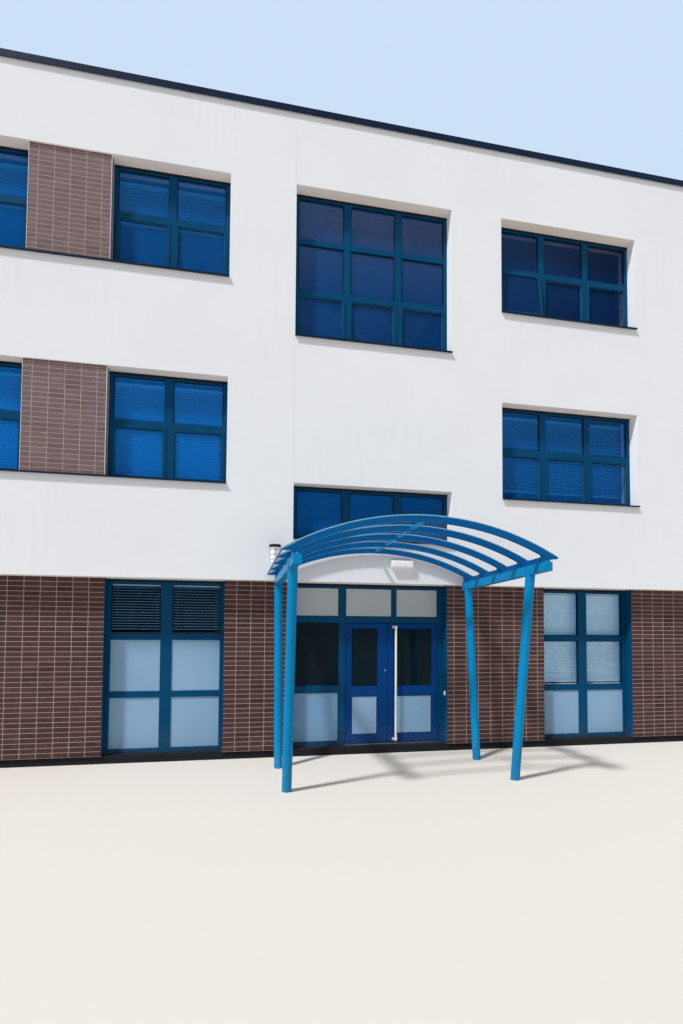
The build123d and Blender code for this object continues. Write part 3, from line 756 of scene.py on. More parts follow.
@dataclass
class Shape:
    """Closed solids gathered into one mesh."""

    place: Matrix = field(default_factory=lambda: Side.FRONT.place)  # the move from u, v and z to the frame
    points: list[Point] = field(default_factory=list)
    faces: list[Face] = field(default_factory=list)
    tones: list[float] = field(default_factory=list)  # of each corner

    def add(
        self, points: Iterable[Point], faces: Iterable[Face], tone: float = 0.5, turn: Matrix = STILL
    ) -> None:
        """Adds one solid.

        Args:
            points: Its corners.
            faces: Its faces, by number of corner.
            tone: Its tone.
            turn: A further move.
        """
        start = len(self.points)
        moved = [tuple(self.place @ (turn @ Vector(point))) for point in points]
        self.points += moved
        self.faces += [tuple(start + index for index in face) for face in faces]
        self.tones += [tone] * len(moved)

    def box(self, low: Point, high: Point, turn: Matrix = STILL) -> None:
        """Adds a box.

        Args:
            low: Its lowest corner.
            high: Its highest corner.
            turn: A further move.
        """
        (x0, y0, z0), (x1, y1, z1) = low, high
        corners = [(x, y, z) for z in (z0, z1) for y in (y0, y1) for x in (x0, x1)]
        faces = [(0, 2, 3, 1), (4, 5, 7, 6), (0, 1, 5, 4), (2, 6, 7, 3), (0, 4, 6, 2), (1, 3, 7, 5)]
        self.add(corners, faces, turn=turn)

    def stack(self, rings: Sequence[Sequence[Point]], tone: float = 0.5) -> None:
        """Adds a solid that joins rings of corners, closed at both ends.

        Args:
            rings: Rings with as many corners each.
            tone: Its tone.
        """
        count = len(rings[0])
        last = (len(rings) - 1) * count
        around = [(n, (n + 1) % count) for n in range(count)]
        faces: list[Face] = []
        for low in range(0, last, count):
            high = low + count
            faces += [(low + here, low + after, high + after, high + here) for here, after in around]
        faces += [tuple(reversed(range(count))), tuple(range(last, last + count))]
        self.add([point for ring in rings for point in ring], faces, tone)

    def brick(self, block: Block, chamfer: float, tone: float) -> None:
        """Adds a brick with worn edges round its outer face, which is at v0.

        Args:
            block: Its box.
            chamfer: Width of its worn edges.
            tone: Its tone.
        """
        rings = []
        for inset, v in ((chamfer, block.v0), (0, block.v0 + chamfer), (0, block.v1)):
            u0, u1, z0, z1 = block.u0 + inset, block.u1 - inset, block.z0 + inset, block.z1 - inset
            rings.append([(u0, v, z0), (u1, v, z0), (u1, v, z1), (u0, v, z1)])
        self.stack(rings, tone)

    def trim(self, block: Block, section: Sequence[Pair], turn: Matrix = STILL) -> None:
        """Adds a mitred trim round an opening.

        Args:
            block: The opening.
            section: Its section, as distances in from the opening's edge, and places along v.
            turn: A further move.
        """
        points: list[Point] = []
        for u, z, right, up in (
            (block.u0, block.z0, 1, 1), (block.u1, block.z0, -1, 1),
            (block.u1, block.z1, -1, -1), (block.u0, block.z1, 1, -1),
        ):
            points += [(u + inset * right, v, z + inset * up) for inset, v in section]
        count = len(section)
        faces = []
        for corner in range(4):
            here, there = corner * count, (corner + 1) % 4 * count
            for n in range(count):
                after = (n + 1) % count
                faces.append((here + n, there + n, there + after, here + after))
        self.add(points, faces, turn=turn)

    def rod(self, start: Point, end: Point, radii: Sequence[float], sides: int = 12) -> None:
        """Adds a round bar, or a turned one where its radii differ.

        Args:
            start: Middle of its first end.
            end: Middle of its last end.
            radii: Its radius at places evenly along it.
            sides: Number of its sides.
        """
        line = Vector(end) - Vector(start)
        turn = line.to_track_quat("Z", "Y").to_matrix()
        angles = [2 * math.pi * n / sides for n in range(sides)]
        rings = []
        for level, radius in enumerate(radii):
            middle = Vector(start) + line * (level / (len(radii) - 1))
            spokes = [Vector((radius * math.cos(angle), radius * math.sin(angle), 0)) for angle in angles]
            rings.append([tuple(middle + turn @ spoke) for spoke in spokes])
        self.stack(rings)

    def build(
        self, name: str, finish: Finish, slot: str, body: str = "building",
        replaces: Sequence[str] = (), smooth: bool = False,
    ) -> None:
        """Makes the piece.

        Args:
            name: Name of the piece.
            finish: Its finish.
            slot: The record's material slot; not used.
            body: The body that it rides on.
            replaces: The nodes that it stands for.
            smooth: Whether its round faces are shaded smooth.
        """
        mesh = bpy.data.meshes.new(name)
        mesh.from_pydata(self.points, [], self.faces)
        tones = mesh.attributes.new("tone", "FLOAT", "POINT")
        tones.data.foreach_set("value", self.tones)
        mesh.materials.append(finish.material)
        work = bmesh.new()
        work.from_mesh(mesh)
        bmesh.ops.recalc_face_normals(work, faces=work.faces)
        work.to_mesh(mesh)
        work.free()
        piece = bpy.data.objects.new(name, mesh)
        bpy.context.scene.collection.objects.link(piece)
        if smooth:
            mesh.shade_smooth()
            sharp = piece.modifiers.new("edges", "EDGE_SPLIT")
            sharp.split_angle = SHARP
        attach(piece, body)
        if replaces:
            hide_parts(*replaces)
        LOG.info("%s: %d faces, %s", name, len(mesh.polygons), finish.name.lower())


# Brickwork

class Bond(Enum):
    """Where the whole bricks of a stack-bonded pier start."""

    CENTRED = "centred"
    FROM_LEFT = "from its left edge"
    FROM_RIGHT = "from its right edge"


@dataclass
class Brickwork:
    """Stack-bonded brick walls: each brick laid by itself, over the mortar that shows in the joints."""

    module: float = 0.225  # length of a brick and its joint
    course: float = 0.075  # height of a brick and its joint
    joint: float = 0.007  # width of the mortar that shows between two bricks
    joint_depth: float = 0.0015  # how far the mortar lies behind the bricks
    header: float = 0.1025  # width of a brick's end
    chamfer: float = 0.0012  # width of the worn edges
    wander: float = 0.0008  # how far a brick's face may lie behind the others
    least: float = 0.03  # shortest cut brick
    tone: Pair = (0.45, 0.19)  # mean and scatter of the bricks' tones
    panel_seed: int = 7
    angle_width: float = 0.004  # of the pale angles on the panels' corners
    angle_depth: float = 0.05  # how far they reach into the wall
    angle_thickness: float = 0.0015

    def joints(self, u0: float, u1: float, bond: Bond) -> list[float]:
        """Middles of the upright joints of a pier.

        Args:
            u0: Its left edge.
            u1: Its right edge.
            bond: Where its whole bricks start.

        Returns:
            The joints, from left to right.
        """
        count = math.ceil((u1 - u0) / self.module - TOUCH)
        if bond is Bond.CENTRED:
            first = (u0 + u1 - (count - 2) * self.module) / 2
            return [first + n * self.module for n in range(count - 1)]
        offsets = [n * self.module for n in range(1, count)]
        if bond is Bond.FROM_LEFT:
            return [u0 + offset for offset in offsets]
        return sorted(u1 - offset for offset in offsets)

    def lay(self, shape: Shape, pier: Block, bond: Bond, chance: random.Random) -> None:
        """Lays the bricks of one pier.

        Args:
            shape: What they are added to.
            pier: The pier, with its outer face at v0.
            bond: Where its whole bricks start.
            chance: The random numbers.
        """
        half = self.joint / 2
        edges = [pier.u0 - half, *self.joints(pier.u0, pier.u1, bond), pier.u1 + half]
        for row in range(math.ceil((pier.z1 - pier.z0) / self.course)):
            z0 = pier.z0 + row * self.course + half
            z1 = min(z0 + self.course - self.joint, pier.z1)
            for left, right in zip(edges, edges[1:]):
                u0, u1 = left + half, right - half
                if min(u1 - u0, z1 - z0) < self.least:
                    continue
                v = pier.v0 + chance.random() * self.wander
                tone = min(1.0, max(0.0, chance.gauss(*self.tone)))
                shape.brick(Block(u0, u1, v, pier.v0 + self.header, z0, z1), self.chamfer, tone)

    def piers(self, side: Side) -> None:
        """Builds the ground-floor brickwork of one side.

        Args:
            side: The side.
        """
        node = f"{side.label}_brick_piers"
        found = sorted(blocks_of(node, side), key=lambda block: block.u0)
        reach = side.half - found[0].v0 - self.header - self.joint
        mortar, bricks = Shape(side.place), Shape(side.place)
        chance = random.Random(side.value)
        for pier in found:
            first, last = pier is found[0], pier is found[-1]
            bond = Bond.FROM_RIGHT if first else Bond.FROM_LEFT if last else Bond.CENTRED
            core, laid = pier, pier
            if side in (Side.FRONT, Side.BACK):
                left, right = self.joint_depth * first, self.joint_depth * last
                core = replace(pier, u0=pier.u0 + left, u1=pier.u1 - right)
            else:
                laid = replace(pier, u0=-reach if first else pier.u0, u1=reach if last else pier.u1)
            mortar.box((core.u0, pier.v0 + self.joint_depth, pier.z0), (core.u1, pier.v1, pier.z1))
            self.lay(bricks, laid, bond, chance)
        mortar.build(f"{side.label}_mortar", Finish.MORTAR, "brick", replaces=[node])
        bricks.build(f"{side.label}_bricks", Finish.BRICK, "brick")

    def panels(self, node: str) -> None:
        """Builds the brick panels between the upper windows, and the pale angles on their upright corners.

        Args:
            node: The node of the panels.
        """
        mortar, bricks, angles = Shape(), Shape(), Shape()
        chance = random.Random(self.panel_seed)
        for panel in blocks_of(node):
            low = (panel.u0, panel.v0 + self.joint_depth, panel.z0)
            mortar.box(low, (panel.u1, panel.v1, panel.z1))
            self.lay(bricks, panel, Bond.CENTRED, chance)
            behind = panel.v0 + self.chamfer
            for edge, out in ((panel.u0, -1), (panel.u1, 1)):
                proud = edge + out * self.angle_thickness
                left, right = sorted((proud, edge - out * self.angle_width))
                angles.box((left, panel.v0 - self.angle_thickness, panel.z0), (right, behind, panel.z1))
                left, right = sorted((proud, edge))
                angles.box((left, behind, panel.z0), (right, panel.v0 + self.angle_depth, panel.z1))
        mortar.build("panel_mortar", Finish.MORTAR, "brick", replaces=[node])
        bricks.build("panel_bricks", Finish.PANEL_BRICK, "brick")
        angles.build("panel_corner_angles", Finish.WHITE, "white_metal")

    def build(self) -> None:
        """Builds all brickwork."""
        for side in Side:
            self.piers(side)
        self.panels("brick_panels")


# Windows

@dataclass
class Glazing:
    """What holds the panes: beads, black gaskets, and the raised sashes of the lights that open."""

    bead_width: float = 0.006  # of a bead on the glass
    bead_setback: float = 0.004  # how far a bead lies behind the frame's face
    gasket: float = 0.007  # width of the black gasket beside a bead
    sash_lap: float = 0.024  # how far a sash laps over the frame
    sash_face: float = 0.024  # how far it laps over the glass
    sash_height: float = 0.012  # how far it stands out from the frame
    sash_bead: float = 0.012  # how far the bead in a sash stands out from the glass
    frame_depth: float = 0.07  # of the frames, which hold the panes in their middle
    deepest: float = 0.6  # how far behind the white face the panes of a side may lie
    vent_turn: float = math.radians(7.5)  # how far the open vent is turned about its top
    vent_column: int = -3  # its column, counted from the right end of the storey
    vent_lap: float = 0.012  # how far it laps over the frame
    vent_bar: float = 0.036  # width of its bars inside the light
    vent_depth: float = 0.036
    stay_radius: float = 0.004
    stay: Pair = (0.06, 0.22)  # heights of a stay's outer and inner end above the light's lower edge
    strip_height: float = 0.04  # of the dark strip at the head of every window
    strip_depth: float = 0.012  # how far it stands out from the frame

    def bead(self, shape: Shape, pane: Block, face: float, turn: Matrix = STILL) -> None:
        """Adds the beads round a pane.

        Args:
            shape: What they are added to.
            pane: The pane, with its outer face at v0.
            face: The frame's outer face along v.
            turn: A further move.
        """
        top = face + self.bead_setback
        section = [(0, top), (self.bead_width * 0.55, top), (self.bead_width, pane.v0), (0, pane.v0)]
        shape.trim(pane, section, turn)

    def seal(self, shape: Shape, pane: Block, turn: Matrix = STILL, inset: float = 0.0) -> None:
        """Adds the black gasket round a pane.

        Args:
            shape: What it is added to.
            pane: The pane, with its outer face at v0.
            turn: A further move.
            inset: How far in from the pane's edge its bead starts.
        """
        outer = inset + self.bead_width - self.gasket / 4
        inner = inset + self.bead_width + self.gasket
        high = pane.v0 - self.gasket
        section = [(outer, high), (inner, (high + 2 * pane.v0) / 3), (inner, pane.v0), (outer, pane.v0)]
        shape.trim(pane, section, turn)

    def face(self, pane: Block) -> float:
        """The outer face along v of the frame that holds a pane."""
        return (pane.v0 + pane.v1 - self.frame_depth) / 2

    def sash(self, sashes: Shape, beads: Shape, light: Block) -> None:
        """Adds the raised sash of a light that opens, and the bead between it and its pane.

        Args:
            sashes: What the sash is added to.
            beads: What the bead is added to.
            light: The light, with the pane's outer face at v0.
        """
        face = self.face(light)
        high = face - self.sash_height
        slope = self.sash_height * 0.4
        sashes.trim(light, [
            (-self.sash_lap, face), (-self.sash_lap, high + slope), (slope - self.sash_lap, high),
            (self.sash_face - slope, high), (self.sash_face, high + slope), (self.sash_face, light.v0),
            (0, light.v0), (0, face),
        ])
        start, end = self.sash_face, self.sash_face + self.bead_width
        top = light.v0 - self.sash_bead
        beads.trim(light, [
            (start, top), ((start + end) / 2, top), (end, light.v0 - self.sash_bead / 3), (end, light.v0),
            (start, light.v0),
        ])

    def opens(self, pane: Block, others: Sequence[Block]) -> bool:
        """Whether a pane is the lowest light of its column upstairs, with others over it."""
        same = [other for other in others if other.storey == pane.storey and abs(other.u0 - pane.u0) < NEAR]
        return pane.storey > 0 and len(same) > 1 and pane.z0 < min(other.z0 for other in same) + NEAR

    def panes(self, side: Side) -> None:
        """Builds the beads, gaskets and sashes of one side.

        Args:
            side: The side.
        """
        panes = blocks_of(f"{side.label}_glass", side)
        beads, inner_beads, seals, sashes = (Shape(side.place) for _ in range(4))
        for pane in panes:
            if self.opens(pane, panes):
                self.sash(sashes, inner_beads, pane)
                self.seal(seals, pane, inset=self.sash_face)
            else:
                self.bead(beads, pane, self.face(pane))
                self.seal(seals, pane)
        # Fixed lights' beads are near black: painted shade round the panes.
        beads.build(f"{side.label}_glazing_beads", Finish.DARK_BEAD, "teal_frame")
        # Sash beads in the lighter teal: painted highlight.
        inner_beads.build(f"{side.label}_sash_beads", Finish.BEAD, "teal_frame")
        seals.build(f"{side.label}_glazing_gaskets", Finish.RUBBER, "teal_frame")
        sashes.build(f"{side.label}_window_sashes", Finish.TEAL, "teal_frame")

    def panels(self, side: Side) -> None:
        """Builds the beads round the opaque lights of one side's ground floor.

        Args:
            side: The side.
        """
        beads = Shape(side.place)
        for panel in blocks_of("ground_window_panels", side):
            if panel.v0 >= 0 and panel.v1 <= self.deepest:
                self.bead(beads, panel, self.face(panel))
        # Panel beads in the lighter teal: painted highlight.
        beads.build(f"{side.label}_panel_beads", Finish.BEAD, "teal_frame")

    def strips(self, side: Side) -> None:
        """Builds the dark strips at the heads of one side's windows and of the entrance screen.

        Args:
            side: The side.
        """
        nodes = [f"{side.label}_frames"]
        if side is Side.FRONT:
            nodes = [f"front_frames_{storey}_floor" for storey in ("ground", "first", "second")]
            nodes.append("entrance_screen")
        strips = Shape(side.place)
        for window in [block for node in nodes for block in blocks_of(node, side)]:
            near, top = window.v0 - self.strip_depth, window.z1
            section = [
                (near + self.strip_depth / 2, top), (window.v0, top), (window.v0, top - self.strip_height),
                (near, top - self.strip_height), (near, top - self.strip_height * 0.3),
            ]
            strips.stack([[(u, v, z) for v, z in section] for u in (window.u0, window.u1)])
        strips.build(f"{side.label}_head_strips", Finish.HEAD, "teal_frame")

    def vent(self) -> None:
        """Builds the bead, gasket and stays of the open vent."""
        panes = [pane for pane in blocks_of("front_glass") if pane.storey == 2]
        beside = [pane for pane in panes if self.opens(pane, panes)][-1]
        above = sorted((pane for pane in panes if pane.z0 > beside.z1), key=lambda pane: pane.u0)
        top = above[self.vent_column]
        face, bar, bead = self.face(beside), self.vent_bar, self.bead_width
        glass_depth = beside.v1 - beside.v0
        start = face - (self.vent_depth + glass_depth) / 2
        pane = Block(top.u0 + bar, top.u1 - bar, start, start + glass_depth, beside.z0 + bar, beside.z1 - bar)
        pivot = Matrix.Translation((0, face, beside.z1 + self.vent_lap))
        turn = pivot @ Matrix.Rotation(-self.vent_turn, 4, "X") @ pivot.inverted()
        beads, seals, stays = Shape(), Shape(), Shape()
        high = start - bead / 2
        beads.trim(pane, [(0, high), (bead, high), (bead * 2, start), (0, start)], turn)
        self.seal(seals, pane, turn)
        for u in (top.u0 + bar / 2, top.u1 - bar / 2):
            foot = turn @ Vector((u, face, beside.z0 + self.stay[0]))
            stays.rod((u, face, beside.z0 + self.stay[1]), tuple(foot), [self.stay_radius] * 2, 8)
        beads.build("vent_beads", Finish.TEAL, "teal_frame")
        seals.build("vent_gaskets", Finish.RUBBER, "teal_frame")
        stays.build("vent_stays", Finish.STEEL, "bare_aluminium")

    def build(self) -> None:
        """Builds the glazing of every side, and the open vent's."""
        for part in (self.panes, self.panels, self.strips):
            for side in Side:
                part(side)
        self.vent()


@dataclass
class Blinds:
    """Venetian blinds behind the panes: open ones in front, and closed ones on the other sides.

    Turns are from level, with the slats' outer edge up where they are negative.
    """

    pitch: float = 0.0435  # distance between slats
    first: float = 0.7  # pitches from the head rail to the first slat
    width: float = 0.05  # of a slat
    thickness: float = 0.0012  # of a slat
    gap: float = 0.003  # between the wall's inner face and the slats
    lap: float = 0.0573  # how far a blind in front reaches past its lights, halfway over the mullions
    wide_lap: float = 0.11  # the same on the other sides
    mullion: float = 0.2  # distance that neighbouring lights of one window lie within
    rail: float = 0.03  # height of the head rail
    tape: float = 0.004  # width of the tapes that hold the slats
    tape_depth: float = 0.001
    tape_places: Pair = (0.15, 0.85)  # shares of a blind's width
    lift: float = 0.2  # how far the right ones of the first floor end above the panes' lower edge
    bare: Pair = (-0.3, 2.25)  # where the lights of the middle windows, which have none, start
    shut: float = math.radians(-82)  # turn of the slats on the other sides
    left_turn: float = math.radians(8)  # at the left of the ground floor
    right_turn: float = math.radians(-56)  # at its right
    upper_turns: Pair = (math.radians(2), math.radians(14))  # on the first and second floor

    def hang(self, slats: Shape, tapes: Shape, side: Side, light: Block) -> None:
        """Hangs one blind.

        Args:
            slats: What its slats and rails are added to.
            tapes: What its tapes are added to.
            side: The side.
            light: The stretch that it covers.
        """
        lap = self.lap if side is Side.FRONT else self.wide_lap
        u0, u1 = light.u0 - lap, light.u1 + lap
        low = light.storey == 0
        wall = blocks_of("front_brick_piers")[0].v1 if low else HALF_DEPTH - ROOM.y
        half = self.width / 2
        v = wall + self.gap + half
        turn = self.turn(side, light)
        slats.box((u0, v - half, light.z1 - self.rail), (u1, v + half, light.z1))
        slats.box((u0, v - half, light.z0), (u1, v + half, light.z0 + self.rail / 2))
        for n in range(int((light.z1 - light.z0 - 2 * self.rail) / self.pitch)):
            z = light.z1 - self.rail - (n + self.first) * self.pitch
            middle = Matrix.Translation((0, v, z)) @ Matrix.Rotation(turn, 4, "X")
            slats.box((u0, -half, -self.thickness / 2), (u1, half, self.thickness / 2), middle)
        near = v - half - self.tape_depth
        for share in self.tape_places:
            u = u0 + (u1 - u0) * share
            left, right = u - self.tape / 2, u + self.tape / 2
            tapes.box((left, near - self.tape_depth, light.z0), (right, near, light.z1))

    def turn(self, side: Side, light: Block) -> float:
        """Turn of the slats behind a light.

        Args:
            side: The side.
            light: The light.

        Returns:
            The turn.
        """
        if side is not Side.FRONT:
            return self.shut
        if light.storey:
            return self.upper_turns[light.storey - 1]
        return self.left_turn if light.u0 < 0 else self.right_turn

    def drop(self, side: Side, column: Sequence[Block]) -> Block | None:
        """How far the blind behind a column of lights hangs.

        Args:
            side: The side.
            column: The lights, from the lowest up.

        Returns:
            The stretch that it covers, or None.
        """
        top, bottom = column[-1], column[0]
        low = bottom.z0 + (self.lift if top.storey == 1 and top.u0 > 0 else 0)
        if side is not Side.FRONT:
            return replace(top, z0=low - self.lap, z1=top.z1 + self.lap)
        if self.bare[0] < top.u0 < self.bare[1]:
            return None
        if top.storey == 2:
            return top if top.u0 < 0 else None
        return replace(top, z0=low)

    def stretches(self, side: Side, columns: Iterable[Sequence[Block]]) -> list[Block]:
        """What each blind of a side covers: a column of lights in front, and a whole window elsewhere.

        Args:
            side: The side.
            columns: The columns of lights, from left to right on each storey.

        Returns:
            The stretches.
        """
        found: list[Block] = []
        for stretch in [self.drop(side, column) for column in columns]:
            if stretch is None:
                continue
            last = found[-1] if found and side is not Side.FRONT else None
            if last and last.storey == stretch.storey and stretch.u0 - last.u1 < self.mullion:
                found[-1] = replace(last, u1=stretch.u1)
            else:
                found.append(stretch)
        return found

    def build(self) -> None:
        """Builds the blinds of every side."""
        for side in Side:
            slats, tapes = Shape(side.place), Shape(side.place)
            columns: dict[Face, list[Block]] = {}
            for pane in blocks_of(f"{side.label}_glass", side):
                columns.setdefault((pane.storey, round(pane.u0 * 100)), []).append(pane)
            for stretch in self.stretches(side, [column for _, column in sorted(columns.items())]):
                self.hang(slats, tapes, side, stretch)
            slats.build(f"{side.label}_blind_slats", Finish.SLAT, "white_plastic")
            tapes.build(f"{side.label}_blind_tapes", Finish.TAPE, "white_plastic")


@dataclass
class HallCeiling:
    """The tiled ceiling that shows through the tall window."""

    tile: float = 0.6  # width of a tile
    tiles: int = 6  # how many lie to the right of the window's left edge
    bar: float = 0.02  # width of the dark gap over the bars between tiles
    thickness: float = 0.015
    drop: float = 0.56  # from the roof slab's top to the tiles' undersides
    depth: float = 4.8  # how far it goes inwards
    start: float = -0.75  # where the middle windows start, at the earliest

    def build(self) -> None:
        """Builds the tiles."""
        panes = [pane.u0 for pane in blocks_of("front_glass") if pane.storey == 2]
        left = min(u for u in panes if u > self.start)
        tiles = Shape()
        z, wall, edge = ROOF_LEVEL - self.drop, HALF_DEPTH - ROOM.y, self.bar / 2
        for u in steps(left - self.tile, left + self.tile * self.tiles, self.tile):
            for v in steps(wall, wall + self.depth, self.tile):
                high = (u + self.tile - edge, v + self.tile - edge, z + self.thickness)
                tiles.box((u + edge, v + edge, z), high)
        tiles.build("hall_ceiling_tiles", Finish.TILE, "white_plastic")


# Entrance

@dataclass
class Entrance:
    """The fine parts of the entrance: beads of the screen and the leaves, lock, screws and push pad."""

    lock_height: float = 1.36  # above the ground
    lock_inset: float = 0.035  # from the left leaf's meeting edge
    lock_radius: float = 0.013
    lock_reach: float = 0.008  # how far it stands out
    lock_steps: Sequence[float] = (1, 1, 0.92, 0.7)  # its radii outwards, as shares of the first one
    keyhole: Point = (0.0012, 0.0006, 0.006)  # half its width, its depth and half its height
    screw: Pair = (0.006, 0.004)  # radius and height of the screws of the bar's plates
    screw_inset: Pair = (0.014, 0.02)  # their distance from the plates' edges and from the bar's ends
    plate: float = 0.01  # thickness of these plates
    pad_height: float = 0.97  # of the middle of the push pad on the right lining
    pad: Point = (0.045, 0.07, 0.012)  # its width, height and thickness
    button: Point = (0.3, 0.3, 0.22)  # radii of its button outwards, as shares of its width

    def leaf_beads(self, glazing: Glazing) -> None:
        """Builds the beads and gaskets of both leaves.

        Args:
            glazing: The sizes of beads and gaskets.
        """
        for name in ("left", "right"):
            face = blocks_of(f"{name}_door_leaf")[0].v0
            beads, seals = Shape(), Shape()
            for part in ("glass", "panel"):
                pane = blocks_of(f"{name}_door_{part}")[0]
                glazing.bead(beads, pane, face)
                glazing.seal(seals, pane)
            beads.build(f"{name}_leaf_beads", Finish.DOOR, "door_blue", f"{name}_door")
            seals.build(f"{name}_leaf_gaskets", Finish.RUBBER, "door_blue", f"{name}_door")

    def screen_beads(self, glazing: Glazing) -> None:
        """Builds the beads and gaskets of the fixed screen.

        Args:
            glazing: The sizes of beads and gaskets.
        """
        beads, seals = Shape(), Shape()
        face = blocks_of("entrance_screen")[0].v0
        for pane in blocks_of("entrance_panels") + blocks_of("entrance_side_glass"):
            glazing.bead(beads, pane, face)
            glazing.seal(seals, pane)
        beads.build("screen_beads", Finish.TEAL, "teal_frame")
        seals.build("screen_gaskets", Finish.RUBBER, "teal_frame")

    def lock(self) -> None:
        """Builds the lock on the left leaf."""
        leaf = blocks_of("left_door_leaf")[0]
        u, v, z = leaf.u1 - self.lock_inset, leaf.v0 - self.lock_reach, self.lock_height
        half, depth, rise = self.keyhole
        rose = Shape()
        rose.rod((u, leaf.v0, z), (u, v, z), [self.lock_radius * share for share in self.lock_steps], 20)
        rose.box((u - half, v - depth, z - rise), (u + half, v, z + rise))
        rose.build("left_leaf_lock", Finish.STEEL, "bare_aluminium", "left_door", smooth=True)

    def bar_screws(self) -> None:
        """Builds the screws that fix the pull bar's brackets."""
        bar = blocks_of("door_pull_bar")[0]
        offset = (bar.u1 - bar.u0) / 2 - self.screw_inset[0]
        plate = blocks_of("right_door_leaf")[0].v0 - self.plate
        radius, height = self.screw
        screws = Shape()
        for u in (bar.middle[0] - offset, bar.middle[0] + offset):
            for z in (bar.z0 + self.screw_inset[1], bar.z1 - self.screw_inset[1]):
                screws.rod((u, plate, z), (u, plate - height, z), [radius, radius * DOME], 10)
        screws.build("pull_bar_screws", Finish.STEEL, "bare_aluminium", "right_door", smooth=True)

    def push_pad(self) -> None:
        """Builds the push pad on the lining to the right of the doors."""
        screen = blocks_of("entrance_screen")[0]
        linings = blocks_of("reveal_linings")
        upright = [block for block in linings if block.z1 - block.z0 > block.u1 - block.u0]
        lining = min(upright, key=lambda block: abs(block.u1 - screen.u1))
        width, height, thickness = self.pad
        v, u, z = lining.middle[1], lining.u0, self.pad_height
        pad = Shape()
        pad.box((u - thickness, v - width / 2, z - height / 2), (u, v + width / 2, z + height / 2))
        radii = [width * share for share in self.button]
        pad.rod((u - thickness, v, z), (u - thickness * 1.5, v, z), radii, 16)
        pad.build("push_pad", Finish.LAMP, "white_plastic")

    def build(self, glazing: Glazing) -> None:
        """Builds all of them.

        Args:
            glazing: The sizes of beads and gaskets.
        """
        self.leaf_beads(glazing)
        self.screen_beads(glazing)
        self.lock()
        self.bar_screws()
        self.push_pad()


# Canopy

@dataclass
class Canopy:
    """The fine parts of the canopy: the seats' flanges and bolts, the caps' screws, the sheet's trims."""

    radius: float = 3.56  # outer radius of the caps
    half_span: float = 1.755  # half the span of the ribs
    tip: float = math.atan2(0.075, 2.4)  # angle by which it rises towards its front, 75 mm in 2.4 m
    flange: Point = (0.096, 0.11, 0.008)  # width, length and thickness of a seat's flange
    bolt: Pair = (0.0095, 0.007)  # radius and height of a bolt's head
    stud: Pair = (0.55, 1.7)  # radius and height of the bolt's end, as shares of the head's
    bolt_inset: float = 0.016  # from the flange's end
    screw: Pair = (0.006, 0.004)  # radius and height of a cap screw's head
    screw_pitch: float = 0.3  # distance between cap screws along the arc
    sunk: float = 0.001  # how far their feet lie in the cap
    trim: Pair = (0.02, 0.014)  # width and height of the trims on the sheet's lower edges

    def seats(self) -> None:
        """Builds the flange and the bolts under each rib's seat."""
        flanges, bolts = Shape(), Shape()
        width, length, thickness = self.flange
        radius, height = self.bolt
        for seat in blocks_of("canopy_rib_seats"):
            turn = Matrix.Translation((*seat.middle, seat.z0)) @ Matrix.Rotation(-self.tip, 4, "X")
            flanges.box((-width / 2, -length / 2, 0), (width / 2, length / 2, thickness), turn)
            for side in (-1, 1):
                v = side * (length / 2 - self.bolt_inset)
                levels = (thickness, thickness + height, thickness + height * self.stud[1])
                foot, head, end = (tuple(turn @ Vector((0, v, level))) for level in levels)
                bolts.rod(foot, head, [radius] * 2, 6)
                bolts.rod(head, end, [radius * self.stud[0]] * 2, 10)
        flanges.build("seat_flanges", Finish.CANOPY, "canopy_blue")
        bolts.build("seat_bolts", Finish.STEEL, "bare_aluminium")

    def screws(self) -> None:
        """Builds the screws along the caps."""
        screws = Shape()
        step = self.screw_pitch / self.radius
        count = int(math.asin(self.half_span / self.radius) / step)
        radius, height = self.screw
        for cap in blocks_of("canopy_rib_caps"):
            centre = Vector((*cap.middle, cap.z1 - self.radius))
            for n in range(-count, count + 1):
                along = Vector((math.sin(n * step), 0, math.cos(n * step)))
                foot = centre + along * (self.radius - self.sunk)
                screws.rod(tuple(foot), tuple(foot + along * height), [radius, radius * DOME], 8)
        screws.build("cap_screws", Finish.STEEL, "bare_aluminium")

    def trims(self) -> None:
        """Builds the trims on the sheet's lower edges."""
        sheet = blocks_of("canopy_roof_sheet")[0]
        caps = sorted(blocks_of("canopy_rib_caps"), key=lambda cap: cap.v0)
        trims = Shape()
        width, height = self.trim
        for near, far in zip(caps, caps[1:]):
            length = far.v0 - near.v1
            for u in (sheet.u0 + width / 2, sheet.u1 - width / 2):
                place = Matrix.Translation((u, (near.v1 + far.v0) / 2, (near.z0 + far.z0) / 2))
                turn = place @ Matrix.Rotation(-self.tip, 4, "X")
                trims.box((-width / 2, -length / 2, 0), (width / 2, length / 2, height), turn)
        trims.build("sheet_edge_trims", Finish.CAP, "bare_aluminium")

    def build(self) -> None:
        """Builds all of them."""
        self.seats()
        self.screws()
        self.trims()


# Walls and roof

